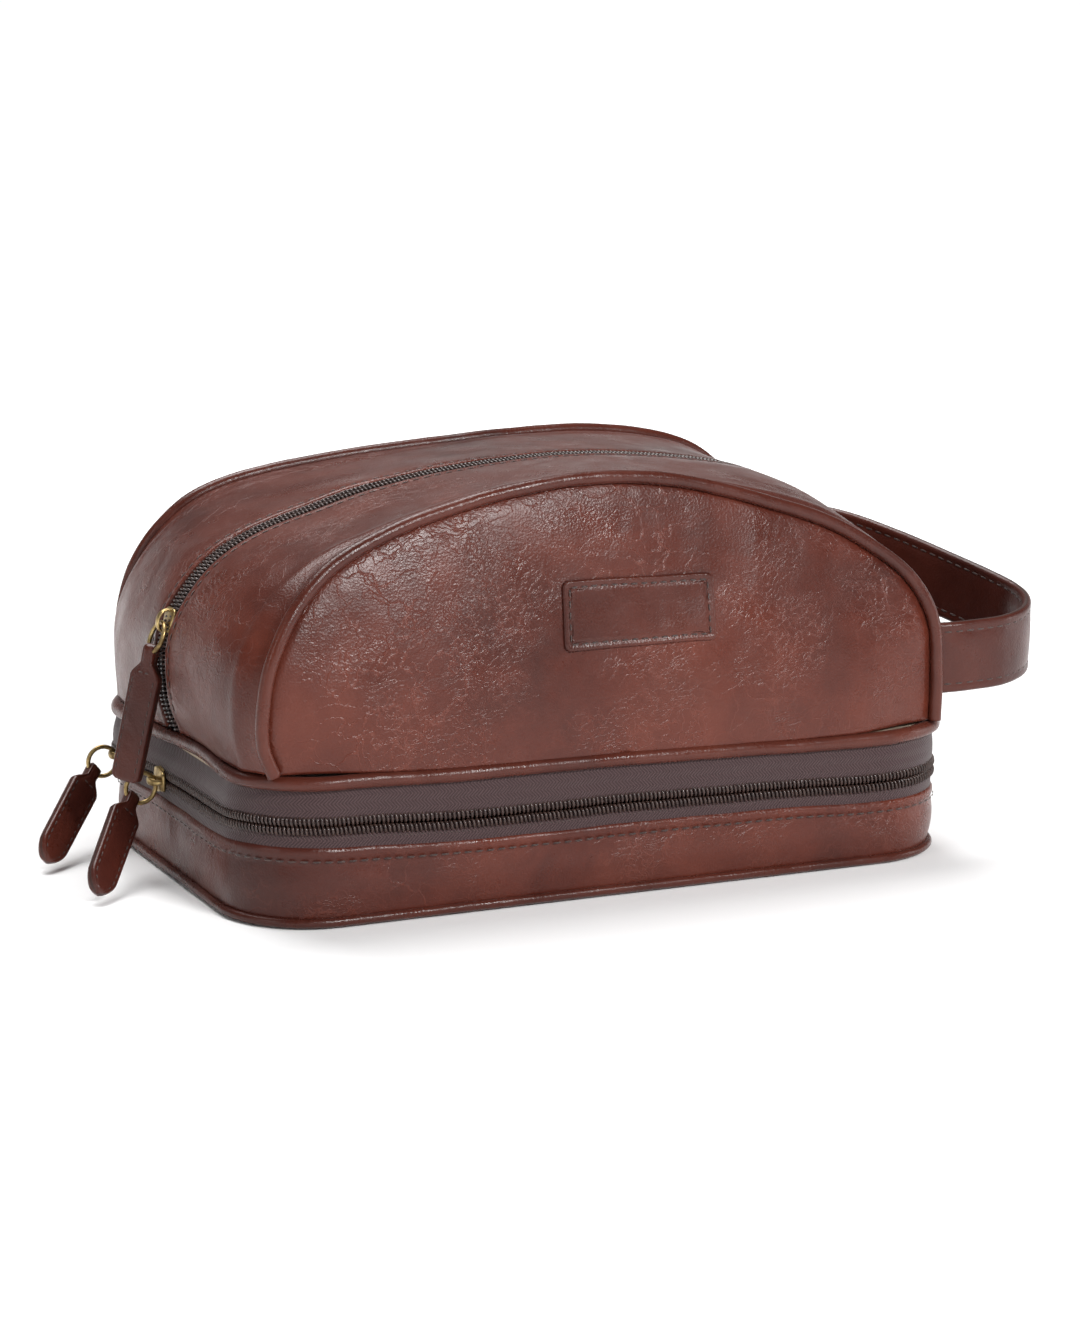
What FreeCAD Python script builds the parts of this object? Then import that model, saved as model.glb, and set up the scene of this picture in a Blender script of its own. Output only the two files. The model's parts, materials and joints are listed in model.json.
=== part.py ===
import FreeCAD, Part
import math
import os
import Sketcher
from FreeCAD import Placement, Rotation, Vector

# Wash bag with a zip-open tray under a domed main compartment.  Millimetres, +Z up, X along the
# length with the pulls at -X and the handle at +X, front at -Y.  The origin is the middle of the
# bag's underside.  Most pieces follow one plan, a rounded rectangle, at an "inset" inwards from
# the outside of the piping.

SIZES = [
    # whole bag
    ("base_length", 265.0), ("base_width", 160.0), ("corner_radius", 32.0),
    # tray
    ("floor_leather", 2.0), ("foot_piping", 3.0), ("foot_piping_low", 0.5), ("foot_piping_inset", 1.5),
    ("board_thickness", 2.0), ("wall_inset", 2.8), ("leather", 1.8), ("lining", 0.8),
    ("wall_top", 21.0), ("binding_inset", 2.2), ("binding_width", 3.0), ("binding_top", 24.5),
    # zips
    ("tape_thickness", 0.8), ("coil_depth", 2.2), ("coil_row", 2.2), ("coil_gap", 1.2),
    ("low_zip_height", 31.5), ("low_zip_inset", 3.4), ("low_zip_back_end", 95.0),
    ("hinge_gap", 0.4), ("tape_width", 7.2),
    # main compartment
    ("piping", 5.0), ("base_piping_low", 44.5), ("dome_height", 137.0), ("shoulder_radius", 43.0),
    ("crown_radius", 260.0), ("panel_lean", 10.7), ("edge_piping", 4.5), ("edge_piping_proud", 1.5),
    ("edge_piping_foot", 17.0), ("edge_piping_foot_rise", 26.0), ("dome_foot_gap", 0.3),
    ("panel_board", 1.0), ("panel_board_margin", 2.5),
    ("zip_mouth", 9.6), ("top_zip_inset", 2.2), ("dome_lining_inset", 3.1), ("lining_mouth", 20.6),
    # label patch on the front panel
    ("patch_length", 55.0), ("patch_height", 22.5), ("patch_thickness", 1.5), ("patch_corner", 2.0),
    ("patch_x", 7.0), ("patch_rise", 45.5),
    # handle strap
    ("strap_width", 25.0), ("strap_layer", 1.5), ("strap_low", 57.5), ("strap_root_out", 4.5),
    ("strap_root_in", 8.5), ("strap_turn_radius", 28.0), ("strap_turn_out", 17.5), ("strap_turn_in", 36.5),
    ("strap_tilt", 5.5), ("strap_end_gap", 9.0), ("strap_end_length", 12.0),
    # sliders and pulls
    ("plate_length", 9.0), ("plate_width", 8.6), ("plate_thickness", 1.1), ("plate_clearance", 0.5),
    ("neck_width", 0.7), ("neck_length", 2.5), ("bail_radius", 4.2), ("bail_wire", 1.3),
    ("ring_radius", 5.2), ("ring_wire", 1.5), ("ring_seat", 1.5),
    ("tab_length", 47.0), ("tab_width", 12.0), ("tab_neck", 4.5), ("tab_neck_length", 6.0),
    ("tab_shoulder", 12.0), ("tab_thickness", 4.4), ("tab_end_width", 7.0),
    ("tab_hole_radius", 1.5), ("tab_hole_inset", 2.4), ("tab_hole_shift", 0.37),
    ("top_slider_angle", 17.0), ("top_ring_drop", 0.9), ("top_ring_angle", 23.0), ("top_tab_angle", 12.0),
    ("front_slider_y", 8.0), ("low_ring_angle", 24.0),
    ("front_tab_angle", 46.0), ("front_tab_swing", 45.0), ("back_tab_angle", 50.0), ("back_tab_swing", 40.0),
]

doc = FreeCAD.newDocument("WashBag")
sheet = doc.addObject("Spreadsheet::Sheet", "Sizes")
for row, (alias, value) in enumerate(SIZES, start=1):
    sheet.set("A%d" % row, alias)
    sheet.set("B%d" % row, str(value))
    sheet.setAlias("B%d" % row, alias)
doc.recompute()

nodes = []


def size(alias):
    return float(sheet.get(alias))


def cell(text):
    """Turn words such as 'base_length / 2 - 3' into an expression on the sheet."""
    words = text.replace("(", " ( ").replace(")", " ) ").split()
    known = {alias for alias, _ in SIZES}
    joined = " ".join("Sizes." + word if word in known else word for word in words)
    return joined.replace("cos (", "cos(").replace("tan (", "tan(")


def value_of(text):
    """The number that an expression on the sheet stands for."""
    return float(sheet.evalExpression(cell(text)))


def finish_node(piece, label):
    piece.Label = label
    nodes.append(piece)
    return piece


def dimension(sketch, kind, where, name, text):
    """Add a driving dimension called name and bind it to the sheet."""
    index = sketch.addConstraint(Sketcher.Constraint(kind, *where, value_of(text)))
    sketch.renameConstraint(index, name)
    sketch.setExpression("Constraints." + name, cell(text))


def common(name, *shapes):
    piece = doc.addObject("Part::MultiCommon", name)
    piece.Shapes = list(shapes)
    return piece


def cut(name, base, tool):
    piece = doc.addObject("Part::Cut", name)
    piece.Base = base
    piece.Tool = tool
    return piece


def box(name, low, high):
    """A box between two corners, each given as three expressions."""
    block = doc.addObject("Part::Box", name)
    for side, axis, near, far in zip(("Length", "Width", "Height"), "xyz", low, high):
        block.setExpression(side, cell("( " + far + " ) - ( " + near + " )"))
        block.setExpression("Placement.Base." + axis, cell(near))
    return block


def extrude(name, sketch, length, both_ways=False):
    solid = doc.addObject("Part::Extrusion", name)
    solid.Base = sketch
    solid.DirMode = "Normal"
    solid.Solid = True
    solid.Symmetric = both_ways
    solid.setExpression("LengthFwd", cell(length))
    return solid


# ---- outlines ------------------------------------------------------------------------------

def rounded_rectangle(sketch, name, half_x, half_y, radius):
    """Draw a centred rounded rectangle whose half sizes and corner radius are expressions."""
    a, b, r = value_of(half_x), value_of(half_y), value_of(radius)
    first = sketch.GeometryCount
    corners = [(a - r, b - r, 0), (r - a, b - r, 90), (r - a, r - b, 180), (a - r, r - b, 270)]
    for x, y, start in corners:
        circle = Part.Circle(Vector(x, y, 0), Vector(0, 0, 1), r)
        sketch.addGeometry(Part.ArcOfCircle(circle, math.radians(start), math.radians(start + 90)), False)
    lines = [((a - r, b), (r - a, b)), ((-a, b - r), (-a, r - b)),
             ((r - a, -b), (a - r, -b)), ((a, r - b), (a, b - r))]
    for start, end in lines:
        sketch.addGeometry(Part.LineSegment(Vector(*start, 0), Vector(*end, 0)), False)
    for k in range(4):
        arc, line, following = first + k, first + 4 + k, first + (k + 1) % 4
        sketch.addConstraint(Sketcher.Constraint("Tangent", arc, 2, line, 1))
        sketch.addConstraint(Sketcher.Constraint("Tangent", line, 2, following, 1))
        sketch.addConstraint(Sketcher.Constraint("Vertical" if k % 2 else "Horizontal", line))
        if k:
            sketch.addConstraint(Sketcher.Constraint("Equal", first, arc))
    dimension(sketch, "Radius", (first,), name + "_radius", radius)
    dimension(sketch, "DistanceX", (-1, 1, first + 7, 1), name + "_right", half_x)
    dimension(sketch, "DistanceX", (first + 5, 1, -1, 1), name + "_left", half_x)
    dimension(sketch, "DistanceY", (-1, 1, first + 4, 1), name + "_back", half_y)
    dimension(sketch, "DistanceY", (first + 6, 1, -1, 1), name + "_front", half_y)


def plan_outline(sketch, name, inset):
    rounded_rectangle(sketch, name, "base_length / 2 - ( " + inset + " )",
                      "base_width / 2 - ( " + inset + " )", "corner_radius - ( " + inset + " )")


def body_plane(body, role):
    return [plane for plane in body.Origin.OriginFeatures if plane.Role == role][0]


def body_sketch(body, name, role="XY_Plane"):
    sketch = body.newObject("Sketcher::SketchObject", name)
    sketch.AttachmentSupport = (body_plane(body, role), "")
    sketch.MapMode = "FlatFace"
    return sketch


def pad(body, sketch, length, both_ways=False):
    feature = body.newObject("PartDesign::Pad", body.Name + "_pad")
    feature.Profile = sketch
    feature.Midplane = both_ways
    feature.setExpression("Length", cell(length))
    return feature


# ---- pieces that follow the plan -----------------------------------------------------------

def plate(label, inset, low, high):
    """A flat plate that follows the plan."""
    body = doc.addObject("PartDesign::Body", label)
    sketch = body_sketch(body, label + "_outline")
    plan_outline(sketch, "edge", inset)
    pad(body, sketch, "( " + high + " ) - ( " + low + " )")
    body.setExpression("Placement.Base.z", cell(low))
    return finish_node(body, label)


def ring(label, outer, inner, low, high):
    """A band that runs right round the plan between two insets."""
    body = doc.addObject("PartDesign::Body", label)
    sketch = body_sketch(body, label + "_outline")
    plan_outline(sketch, "outer", outer)
    plan_outline(sketch, "inner", inner)
    pad(body, sketch, "( " + high + " ) - ( " + low + " )")
    body.setExpression("Placement.Base.z", cell(low))
    return finish_node(body, label)


def pan(label, outer, low, high, wall):
    """A shallow tray-shaped lining: a floor with a wall round it."""
    body = plate(label, outer, low, high)
    doc.recompute()
    full = body.Shape.Volume
    hollow = body_sketch(body, label + "_hollow")
    plan_outline(hollow, "hollow", outer + " + " + wall)
    hollow.setExpression("AttachmentOffset.Base.z", cell(wall))
    pocket = body.newObject("PartDesign::Pocket", label + "_pocket")
    pocket.Profile = hollow
    pocket.Type = "ThroughAll"
    pocket.Reversed = True
    doc.recompute()
    if not body.Shape.Volume < full / 2:
        raise ValueError(label + " is not hollow")
    return body


def open_ring(label, outer, inner, low, high):
    """A band round the plan with the back stretch between the zip's ends taken out."""
    body = ring(label, outer, inner, low, high)
    doc.recompute()
    full = body.Shape.Volume
    gap = body_sketch(body, label + "_back_gap")
    half = size("low_zip_back_end")
    near = value_of("base_width / 2 - corner_radius")
    far = value_of("base_width / 2 + corner_radius")
    ends = [(-half, near), (half, near), (half, far), (-half, far)]
    for k, start in enumerate(ends):
        end = ends[(k + 1) % 4]
        gap.addGeometry(Part.LineSegment(Vector(*start, 0), Vector(*end, 0)), False)
    for k in range(4):
        gap.addConstraint(Sketcher.Constraint("Coincident", k, 2, (k + 1) % 4, 1))
        gap.addConstraint(Sketcher.Constraint("Vertical" if k % 2 else "Horizontal", k))
    dimension(gap, "DistanceX", (-1, 1, 1, 1), "right_end", "low_zip_back_end")
    dimension(gap, "DistanceX", (3, 1, -1, 1), "left_end", "low_zip_back_end")
    dimension(gap, "DistanceY", (-1, 1, 0, 1), "near", "base_width / 2 - corner_radius")
    dimension(gap, "DistanceY", (-1, 1, 2, 1), "far", "base_width / 2 + corner_radius")
    pocket = body.newObject("PartDesign::Pocket", label + "_pocket")
    pocket.Profile = gap
    pocket.Type = "ThroughAll"
    pocket.Reversed = True
    doc.recompute()
    if not body.Shape.Volume < full:
        raise ValueError(label + " is not open at the back")
    return body


def round_off(body, radius):
    """Round the long edges of a piping ring."""
    doc.recompute()
    base = body.Tip
    names = ["Edge%d" % (k + 1) for k, edge in enumerate(base.Shape.Edges)
             if abs(edge.Vertexes[0].Z - edge.Vertexes[-1].Z) < 1e-6]
    fillet = body.newObject("PartDesign::Fillet", body.Name + "_round")
    fillet.Base = (base, names)
    fillet.setExpression("Radius", cell(radius))
    body.Tip = fillet


# ---- the dome ------------------------------------------------------------------------------

def arch_block(name, inset, low):
    """The side view of the dome, run through along Y: straight ends, two shoulders and a crown."""
    sketch = doc.addObject("Sketcher::SketchObject", name + "_sketch")
    sketch.Placement = Placement(Vector(0, 0, 0), Rotation(Vector(1, 0, 0), 90))
    a = value_of("base_length / 2 - ( " + inset + " )")
    top = value_of("dome_height - ( " + inset + " )")
    r = value_of("shoulder_radius - ( " + inset + " )")
    big = value_of("crown_radius - ( " + inset + " )")
    foot = value_of(low)
    crown_z = top - big
    shoulder_x = a - r
    shoulder_z = crown_z + math.sqrt((big - r) ** 2 - shoulder_x ** 2)
    turn = math.atan2(shoulder_z - crown_z, shoulder_x)
    join_x, join_z = big * math.cos(turn), crown_z + big * math.sin(turn)
    axis = Vector(0, 0, 1)
    sketch.addGeometry(Part.LineSegment(Vector(-a, foot, 0), Vector(a, foot, 0)), False)
    sketch.addGeometry(Part.LineSegment(Vector(a, foot, 0), Vector(a, shoulder_z, 0)), False)
    right = Part.Circle(Vector(shoulder_x, shoulder_z, 0), axis, r)
    sketch.addGeometry(Part.ArcOfCircle(right, 0, turn), False)
    crown = Part.Circle(Vector(0, crown_z, 0), axis, big)
    sketch.addGeometry(Part.ArcOfCircle(crown, turn, math.pi - turn), False)
    left = Part.Circle(Vector(-shoulder_x, shoulder_z, 0), axis, r)
    sketch.addGeometry(Part.ArcOfCircle(left, math.pi - turn, math.pi), False)
    sketch.addGeometry(Part.LineSegment(Vector(-a, shoulder_z, 0), Vector(-a, foot, 0)), False)
    sketch.addConstraint(Sketcher.Constraint("Coincident", 0, 2, 1, 1))
    for k in range(1, 5):
        sketch.addConstraint(Sketcher.Constraint("Tangent", k, 2, k + 1, 1))
    sketch.addConstraint(Sketcher.Constraint("Coincident", 5, 2, 0, 1))
    sketch.addConstraint(Sketcher.Constraint("Horizontal", 0))
    sketch.addConstraint(Sketcher.Constraint("Vertical", 1))
    sketch.addConstraint(Sketcher.Constraint("Vertical", 5))
    sketch.addConstraint(Sketcher.Constraint("PointOnObject", 3, 3, -2))
    sketch.addConstraint(Sketcher.Constraint("Equal", 2, 4))
    dimension(sketch, "Radius", (2,), "shoulder", "shoulder_radius - ( " + inset + " )")
    dimension(sketch, "Radius", (3,), "crown", "crown_radius - ( " + inset + " )")
    dimension(sketch, "DistanceY", (3, 3, -1, 1), "crown_drop", "crown_radius - dome_height")
    dimension(sketch, "DistanceX", (-1, 1, 1, 1), "right", "base_length / 2 - ( " + inset + " )")
    dimension(sketch, "DistanceY", (-1, 1, 1, 1), "foot", low)
    return extrude(name, sketch, "base_width * 2", True)


def plan_block(name, inset, low):
    sketch = doc.addObject("Sketcher::SketchObject", name + "_sketch")
    plan_outline(sketch, "edge", inset)
    sketch.setExpression("Placement.Base.z", cell(low))
    return extrude(name, sketch, "dome_height * 2")


def lean_block(name, inset, low):
    """The end view of the dome, run through along X: front and back lean in towards the top."""
    sketch = doc.addObject("Sketcher::SketchObject", name + "_sketch")
    sketch.Placement = Placement(Vector(0, 0, 0), Rotation(Vector(1, 1, 1), 120))
    lean = math.radians(size("panel_lean"))
    foot = value_of(low)
    top = value_of("dome_height * 1.5")
    seat = value_of("base_piping_low + piping")
    at_seat = value_of("base_width / 2 - ( " + inset + " ) / cos ( panel_lean )")
    half_foot = at_seat + (seat - foot) * math.tan(lean)
    half_top = at_seat - (top - seat) * math.tan(lean)
    ends = [(-half_foot, foot), (half_foot, foot), (half_top, top), (-half_top, top)]
    for k, start in enumerate(ends):
        end = ends[(k + 1) % 4]
        sketch.addGeometry(Part.LineSegment(Vector(*start, 0), Vector(*end, 0)), False)
    for k in range(4):
        sketch.addConstraint(Sketcher.Constraint("Coincident", k, 2, (k + 1) % 4, 1))
    sketch.addConstraint(Sketcher.Constraint("Symmetric", 0, 1, 0, 2, -2))
    sketch.addConstraint(Sketcher.Constraint("Symmetric", 2, 1, 2, 2, -2))
    spread = "base_width / 2 - ( " + inset + " ) / cos ( panel_lean )"
    seat_rise = "( base_piping_low + piping )"
    dimension(sketch, "DistanceX", (-1, 1, 0, 2), "half_foot",
              spread + " - ( ( " + low + " ) - " + seat_rise + " ) * tan ( panel_lean )")
    dimension(sketch, "DistanceX", (-1, 1, 2, 1), "half_top",
              spread + " - ( dome_height * 1.5 - " + seat_rise + " ) * tan ( panel_lean )")
    dimension(sketch, "DistanceY", (-1, 1, 0, 2), "foot", low)
    dimension(sketch, "DistanceY", (-1, 1, 2, 1), "top", "dome_height * 1.5")
    return extrude(name, sketch, "base_length * 2", True)


def dome(name, arch_inset, plan_inset, lean_inset, low):
    """The dome's solid: its arch, its plan and its leaning front and back each at their own inset."""
    return common(name, arch_block(name + "_arch", arch_inset, low),
                  plan_block(name + "_plan", plan_inset, low), lean_block(name + "_lean", lean_inset, low))


def even_dome(name, inset, low):
    return dome(name, inset, inset, inset, low)


def shell_piece(label, outer, hollow, region):
    """What lies between two blocks inside a region: one sewn layer of the dome."""
    return finish_node(common(label, cut(label + "_layer", outer, hollow), region), label)


DOME_FOOT = "base_piping_low + piping + dome_foot_gap"
BELOW_FOOT = "base_piping_low + piping - leather * 3"
HIGH = "dome_height * 2"
WIDE = "0 - base_width / 4"
STRIP_IN = "edge_piping - edge_piping_proud"


def side_region(name, side, near, far):
    """Everything on one side of the zip between two distances from the middle plane."""
    low, high = (near, far) if side > 0 else ("0 - ( " + far + " )", "0 - ( " + near + " )")
    return box(name, ("0 - base_length", low, "0"), ("base_length", high, HIGH))


def half_of_dome(where, side):
    """The seven sewn layers on one side of the top zip; side is -1 at the front, +1 at the back."""
    half = side_region(where + "_half", side, "zip_mouth / 2", "base_width")

    leather = dome(where + "_leather", "0", "0", STRIP_IN, DOME_FOOT)
    hollow = dome(where + "_hollow", "leather", "leather", WIDE, BELOW_FOOT)
    shell_piece(where + "_gusset", leather, hollow, half)

    proud = "0 - edge_piping_proud"
    strip = even_dome(where + "_strip", proud, DOME_FOOT)
    strip_core = dome(where + "_strip_core", STRIP_IN, STRIP_IN, WIDE, BELOW_FOOT)
    strip_rest = lean_block(where + "_strip_rest", STRIP_IN, BELOW_FOOT)
    foot_half = "( base_length / 2 - edge_piping_foot )"
    foot = box(where + "_foot", ("0 - " + foot_half, "0 - base_width", "0"),
               (foot_half, "base_width", DOME_FOOT + " + edge_piping_foot_rise"))
    ring_only = cut(where + "_strip_arch", cut(where + "_strip_ring", strip, strip_core), foot)
    piping = shell_piece(where + "_piping", ring_only, strip_rest, half)

    face = dome(where + "_face", STRIP_IN, "0", "0", DOME_FOOT)
    face_rest = lean_block(where + "_face_rest", "leather", BELOW_FOOT)
    shell_piece(where + "_panel", cut(where + "_face_in_piping", face, piping), face_rest, half)

    card_edge = STRIP_IN + " + panel_board_margin"
    card = dome(where + "_card", card_edge, card_edge, "leather", DOME_FOOT)
    card_rest = lean_block(where + "_card_rest", "leather + panel_board", BELOW_FOOT)
    shell_piece(where + "_panel_board", card, card_rest, half)

    lined = even_dome(where + "_lined", "dome_lining_inset", DOME_FOOT)
    lined_in = even_dome(where + "_lined_in", "dome_lining_inset + lining", BELOW_FOOT)
    lining_half = side_region(where + "_lining_half", side, "lining_mouth / 2", "base_width")
    shell_piece(where + "_lining", lined, lined_in, lining_half)

    tape_side = side_region(where + "_tape_side", side, "coil_gap / 2 + coil_row",
                            "coil_gap / 2 + coil_row + tape_width")
    tape = dome(where + "_tape", "leather", "leather", WIDE, DOME_FOOT)
    tape_in = dome(where + "_tape_in", "leather + tape_thickness", "leather + tape_thickness", WIDE, BELOW_FOOT)
    shell_piece("main_zip_tape_" + where, tape, tape_in, tape_side)

    coil_side = side_region(where + "_coil_side", side, "coil_gap / 2", "coil_gap / 2 + coil_row")
    coil_out = "top_zip_inset - coil_depth / 2"
    coil_in = "top_zip_inset + coil_depth / 2"
    coil = dome(where + "_coil", coil_out, coil_out, WIDE, DOME_FOOT)
    coil_rest = dome(where + "_coil_in", coil_in, coil_in, WIDE, BELOW_FOOT)
    shell_piece("main_zip_coil_" + where, coil, coil_rest, coil_side)


# ---- tray: bottom panel, foot piping, wall, binding, lining and the lower half of its zip ---

foot_top = "foot_piping_low + foot_piping"
foot_in = "foot_piping_inset + foot_piping"
plate("tray_bottom_panel", foot_in, "0", "floor_leather")
round_off(ring("tray_bottom_piping", "foot_piping_inset", foot_in, "foot_piping_low", foot_top),
          "foot_piping * 0.3")
ring("tray_wall", "wall_inset", "wall_inset + leather", foot_top, "wall_top")
plate("tray_bottom_board", "wall_inset + leather", "floor_leather", "floor_leather + board_thickness")
pan("tray_lining", "wall_inset + leather", "floor_leather + board_thickness", "wall_top", "lining")
ring("tray_edge_binding", "binding_inset", "binding_inset + binding_width", "wall_top", "binding_top")

tape_out = "low_zip_inset - tape_thickness / 2"
tape_in = "low_zip_inset + tape_thickness / 2"
coil_out = "low_zip_inset - coil_depth / 2"
coil_in = "low_zip_inset + coil_depth / 2"
row_near = "coil_gap / 2"
row_far = "coil_gap / 2 + coil_row"
open_ring("tray_zip_tape", tape_out, tape_in, "binding_top", "low_zip_height - ( " + row_far + " )")
open_ring("tray_zip_coil", coil_out, coil_in, "low_zip_height - ( " + row_far + " )",
          "low_zip_height - " + row_near)

# ---- main compartment: its half of the zip, the floor and the base piping -------------------

open_ring("upper_zip_coil", coil_out, coil_in, "low_zip_height + " + row_near,
          "low_zip_height + " + row_far)
open_ring("upper_zip_tape", tape_out, tape_in, "low_zip_height + " + row_far, "base_piping_low")
round_off(ring("base_piping", "0", "piping", "base_piping_low", "base_piping_low + piping"),
          "piping * 0.3")
plate("divider_board", "piping", "base_piping_low", "base_piping_low + board_thickness")
plate("divider_underside_lining", "wall_inset + leather", "base_piping_low - lining", "base_piping_low")
plate("floor_lining", "piping", "base_piping_low + board_thickness",
      "base_piping_low + board_thickness + lining")


def hinge_leather(label, low, high):
    """One side of the leather strip that joins tray and dome behind the zip's two ends."""
    strip = box(label, ("0 - low_zip_back_end", "base_width / 2 - wall_inset - leather", low),
                ("low_zip_back_end", "base_width / 2 - wall_inset", high))
    return finish_node(strip, label)


hinge_leather("hinge_leather_lower", "binding_top", "low_zip_height - hinge_gap / 2")
hinge_leather("hinge_leather_upper", "low_zip_height + hinge_gap / 2", "base_piping_low")

half_of_dome("front", -1)
half_of_dome("back", 1)


# ---- label patch ---------------------------------------------------------------------------

def label_patch():
    """A plain stitched patch lying on the leaning front panel."""
    body = doc.addObject("PartDesign::Body", "label_patch")
    sketch = body_sketch(body, "label_patch_outline")
    rounded_rectangle(sketch, "edge", "patch_length / 2", "patch_height / 2", "patch_corner")
    pad(body, sketch, "patch_thickness")
    lean = size("panel_lean")
    rise = size("patch_rise")
    foot = size("base_piping_low") + size("piping")
    back = -size("base_width") / 2 + rise * math.sin(math.radians(lean))
    up = foot + rise * math.cos(math.radians(lean))
    body.Placement = Placement(Vector(size("patch_x"), back, up), Rotation(Vector(1, 0, 0), 90 - lean))
    return finish_node(body, "label_patch")


# ---- handle strap --------------------------------------------------------------------------

def strap_root():
    """Where the free loop starts behind the bag's right end: its X, and its Y at the back."""
    return (size("base_length") / 2 + size("strap_root_out"),
            size("base_width") / 2 - size("strap_root_in"))


def strap_line(offset):
    """Corners of the strap's course in plan, moved outwards by offset: front run, turn and back run."""
    r = size("strap_turn_radius")
    x, y = strap_root()
    centre = Vector(size("base_length") / 2 + size("strap_turn_out"),
                    size("strap_turn_in") - size("base_width") / 2, 0)
    front = Vector(x, -y, 0)
    back = Vector(x, y, 0)

    def tangent(root, side):
        """Where a line from the root touches the turn, on the side away from the bag's middle."""
        reach = root - centre
        bearing = math.atan2(reach.y, reach.x)
        swing = math.acos(r / reach.Length)
        angle = bearing + side * swing
        return Vector(math.cos(angle), math.sin(angle), 0)

    out_front = tangent(front, 1)
    out_back = tangent(back, -1)
    shift = r + offset
    return (front + out_front * offset, centre + out_front * shift, centre + Vector(shift, 0, 0),
            centre + out_back * shift, back + out_back * offset)


def strap_layer(label, near, far):
    """One leather layer of the strap between two offsets from its middle line."""
    low = strap_line(near)
    high = strap_line(far)
    edges = [Part.LineSegment(low[0], low[1]).toShape(),
             Part.Arc(low[1], low[2], low[3]).toShape(),
             Part.LineSegment(low[3], low[4]).toShape(),
             Part.LineSegment(low[4], high[4]).toShape(),
             Part.LineSegment(high[4], high[3]).toShape(),
             Part.Arc(high[3], high[2], high[1]).toShape(),
             Part.LineSegment(high[1], high[0]).toShape(),
             Part.LineSegment(high[0], low[0]).toShape()]
    face = Part.Face(Part.Wire(edges))
    layer = doc.addObject("Part::Feature", label)
    layer.Shape = face.extrude(Vector(0, 0, size("strap_width")))
    layer.Placement = strap_placement()
    return finish_node(layer, label)


def strap_placement():
    """The strap rises towards the back: it tilts about its front end."""
    tilt = size("strap_tilt")
    low = Vector(0, 0, size("strap_low"))
    hinge = Vector(0, -strap_root()[1], size("strap_low") + size("strap_width") / 2)
    return Placement(low, Rotation()).multiply(
        Placement(Vector(0, 0, 0), Rotation(Vector(1, 0, 0), tilt), hinge - low))


def strap_end(label, side):
    """The sewn end of the strap, between the edge piping and the free loop."""
    root_x, root_y = strap_root()
    y = side * root_y
    half = size("strap_layer")
    near = root_x - size("strap_end_gap")
    far = near - size("strap_end_length")
    corners = [Vector(near, y - half, 0), Vector(near, y + half, 0),
               Vector(far, y + half, 0), Vector(far, y - half, 0)]
    stub = Part.Face(Part.makePolygon(corners + corners[:1])).extrude(Vector(0, 0, size("strap_width")))
    whole = doc.addObject("Part::Feature", label + "_stub")
    whole.Shape = stub
    whole.Placement = strap_placement()
    bag = even_dome(label + "_bag", "0 - edge_piping_proud", DOME_FOOT)
    return finish_node(cut(label, whole, bag), label)


# ---- sliders, rings and pull tabs ----------------------------------------------------------
# Each is drawn about its own origin with +X out of the bag, +Y across the zip and +Z along it.

def slider_body(label, place):
    """Two plates over and under the coils, joined by a neck that parts the two rows."""
    half_gap = "( coil_depth / 2 + plate_clearance )"
    long_half = "plate_length / 2"
    upper = box(label + "_upper", (half_gap, "0 - plate_width / 2", "0 - " + long_half),
                (half_gap + " + plate_thickness", "plate_width / 2", long_half))
    lower = box(label + "_lower", ("0 - " + half_gap + " - plate_thickness", "0 - plate_width / 2",
                                   "0 - " + long_half), ("0 - " + half_gap, "plate_width / 2", long_half))
    neck = box(label + "_neck", ("0 - " + half_gap + " - plate_thickness / 2", "0 - neck_width / 2",
                                 long_half + " - neck_length"),
               (half_gap + " + plate_thickness / 2", "neck_width / 2", long_half))
    fused = doc.addObject("Part::MultiFuse", label)
    fused.Shapes = [upper, lower, neck]
    fused.Placement = place
    return finish_node(fused, label)


def slider_bail(label, place):
    """The arched wire on the slider's back that the ring passes through."""
    body = doc.addObject("PartDesign::Body", label)
    sketch = body_sketch(body, label + "_arch", "XZ_Plane")
    outer, inner = value_of("bail_radius"), value_of("bail_radius - bail_wire")
    axis = Vector(0, 0, 1)
    for radius in (outer, inner):
        circle = Part.Circle(Vector(0, 0, 0), axis, radius)
        sketch.addGeometry(Part.ArcOfCircle(circle, -math.pi / 2, math.pi / 2), False)
    sketch.addGeometry(Part.LineSegment(Vector(0, -outer, 0), Vector(0, -inner, 0)), False)
    sketch.addGeometry(Part.LineSegment(Vector(0, inner, 0), Vector(0, outer, 0)), False)
    sketch.addConstraint(Sketcher.Constraint("Coincident", 0, 3, -1, 1))
    sketch.addConstraint(Sketcher.Constraint("Coincident", 1, 3, -1, 1))
    for arc, end, line, tip in ((0, 1, 2, 1), (1, 1, 2, 2), (1, 2, 3, 1), (0, 2, 3, 2)):
        sketch.addConstraint(Sketcher.Constraint("Coincident", arc, end, line, tip))
    for arc, end in ((0, 1), (0, 2), (1, 1), (1, 2)):
        sketch.addConstraint(Sketcher.Constraint("PointOnObject", arc, end, -2))
    dimension(sketch, "Radius", (0,), "outside", "bail_radius")
    dimension(sketch, "Radius", (1,), "inside", "bail_radius - bail_wire")
    pad(body, sketch, "bail_wire", True)
    foot = size("coil_depth") / 2 + size("plate_clearance") + size("plate_thickness")
    body.Placement = place.multiply(Placement(Vector(foot, 0, 0), Rotation()))
    return finish_node(body, label)


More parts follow.
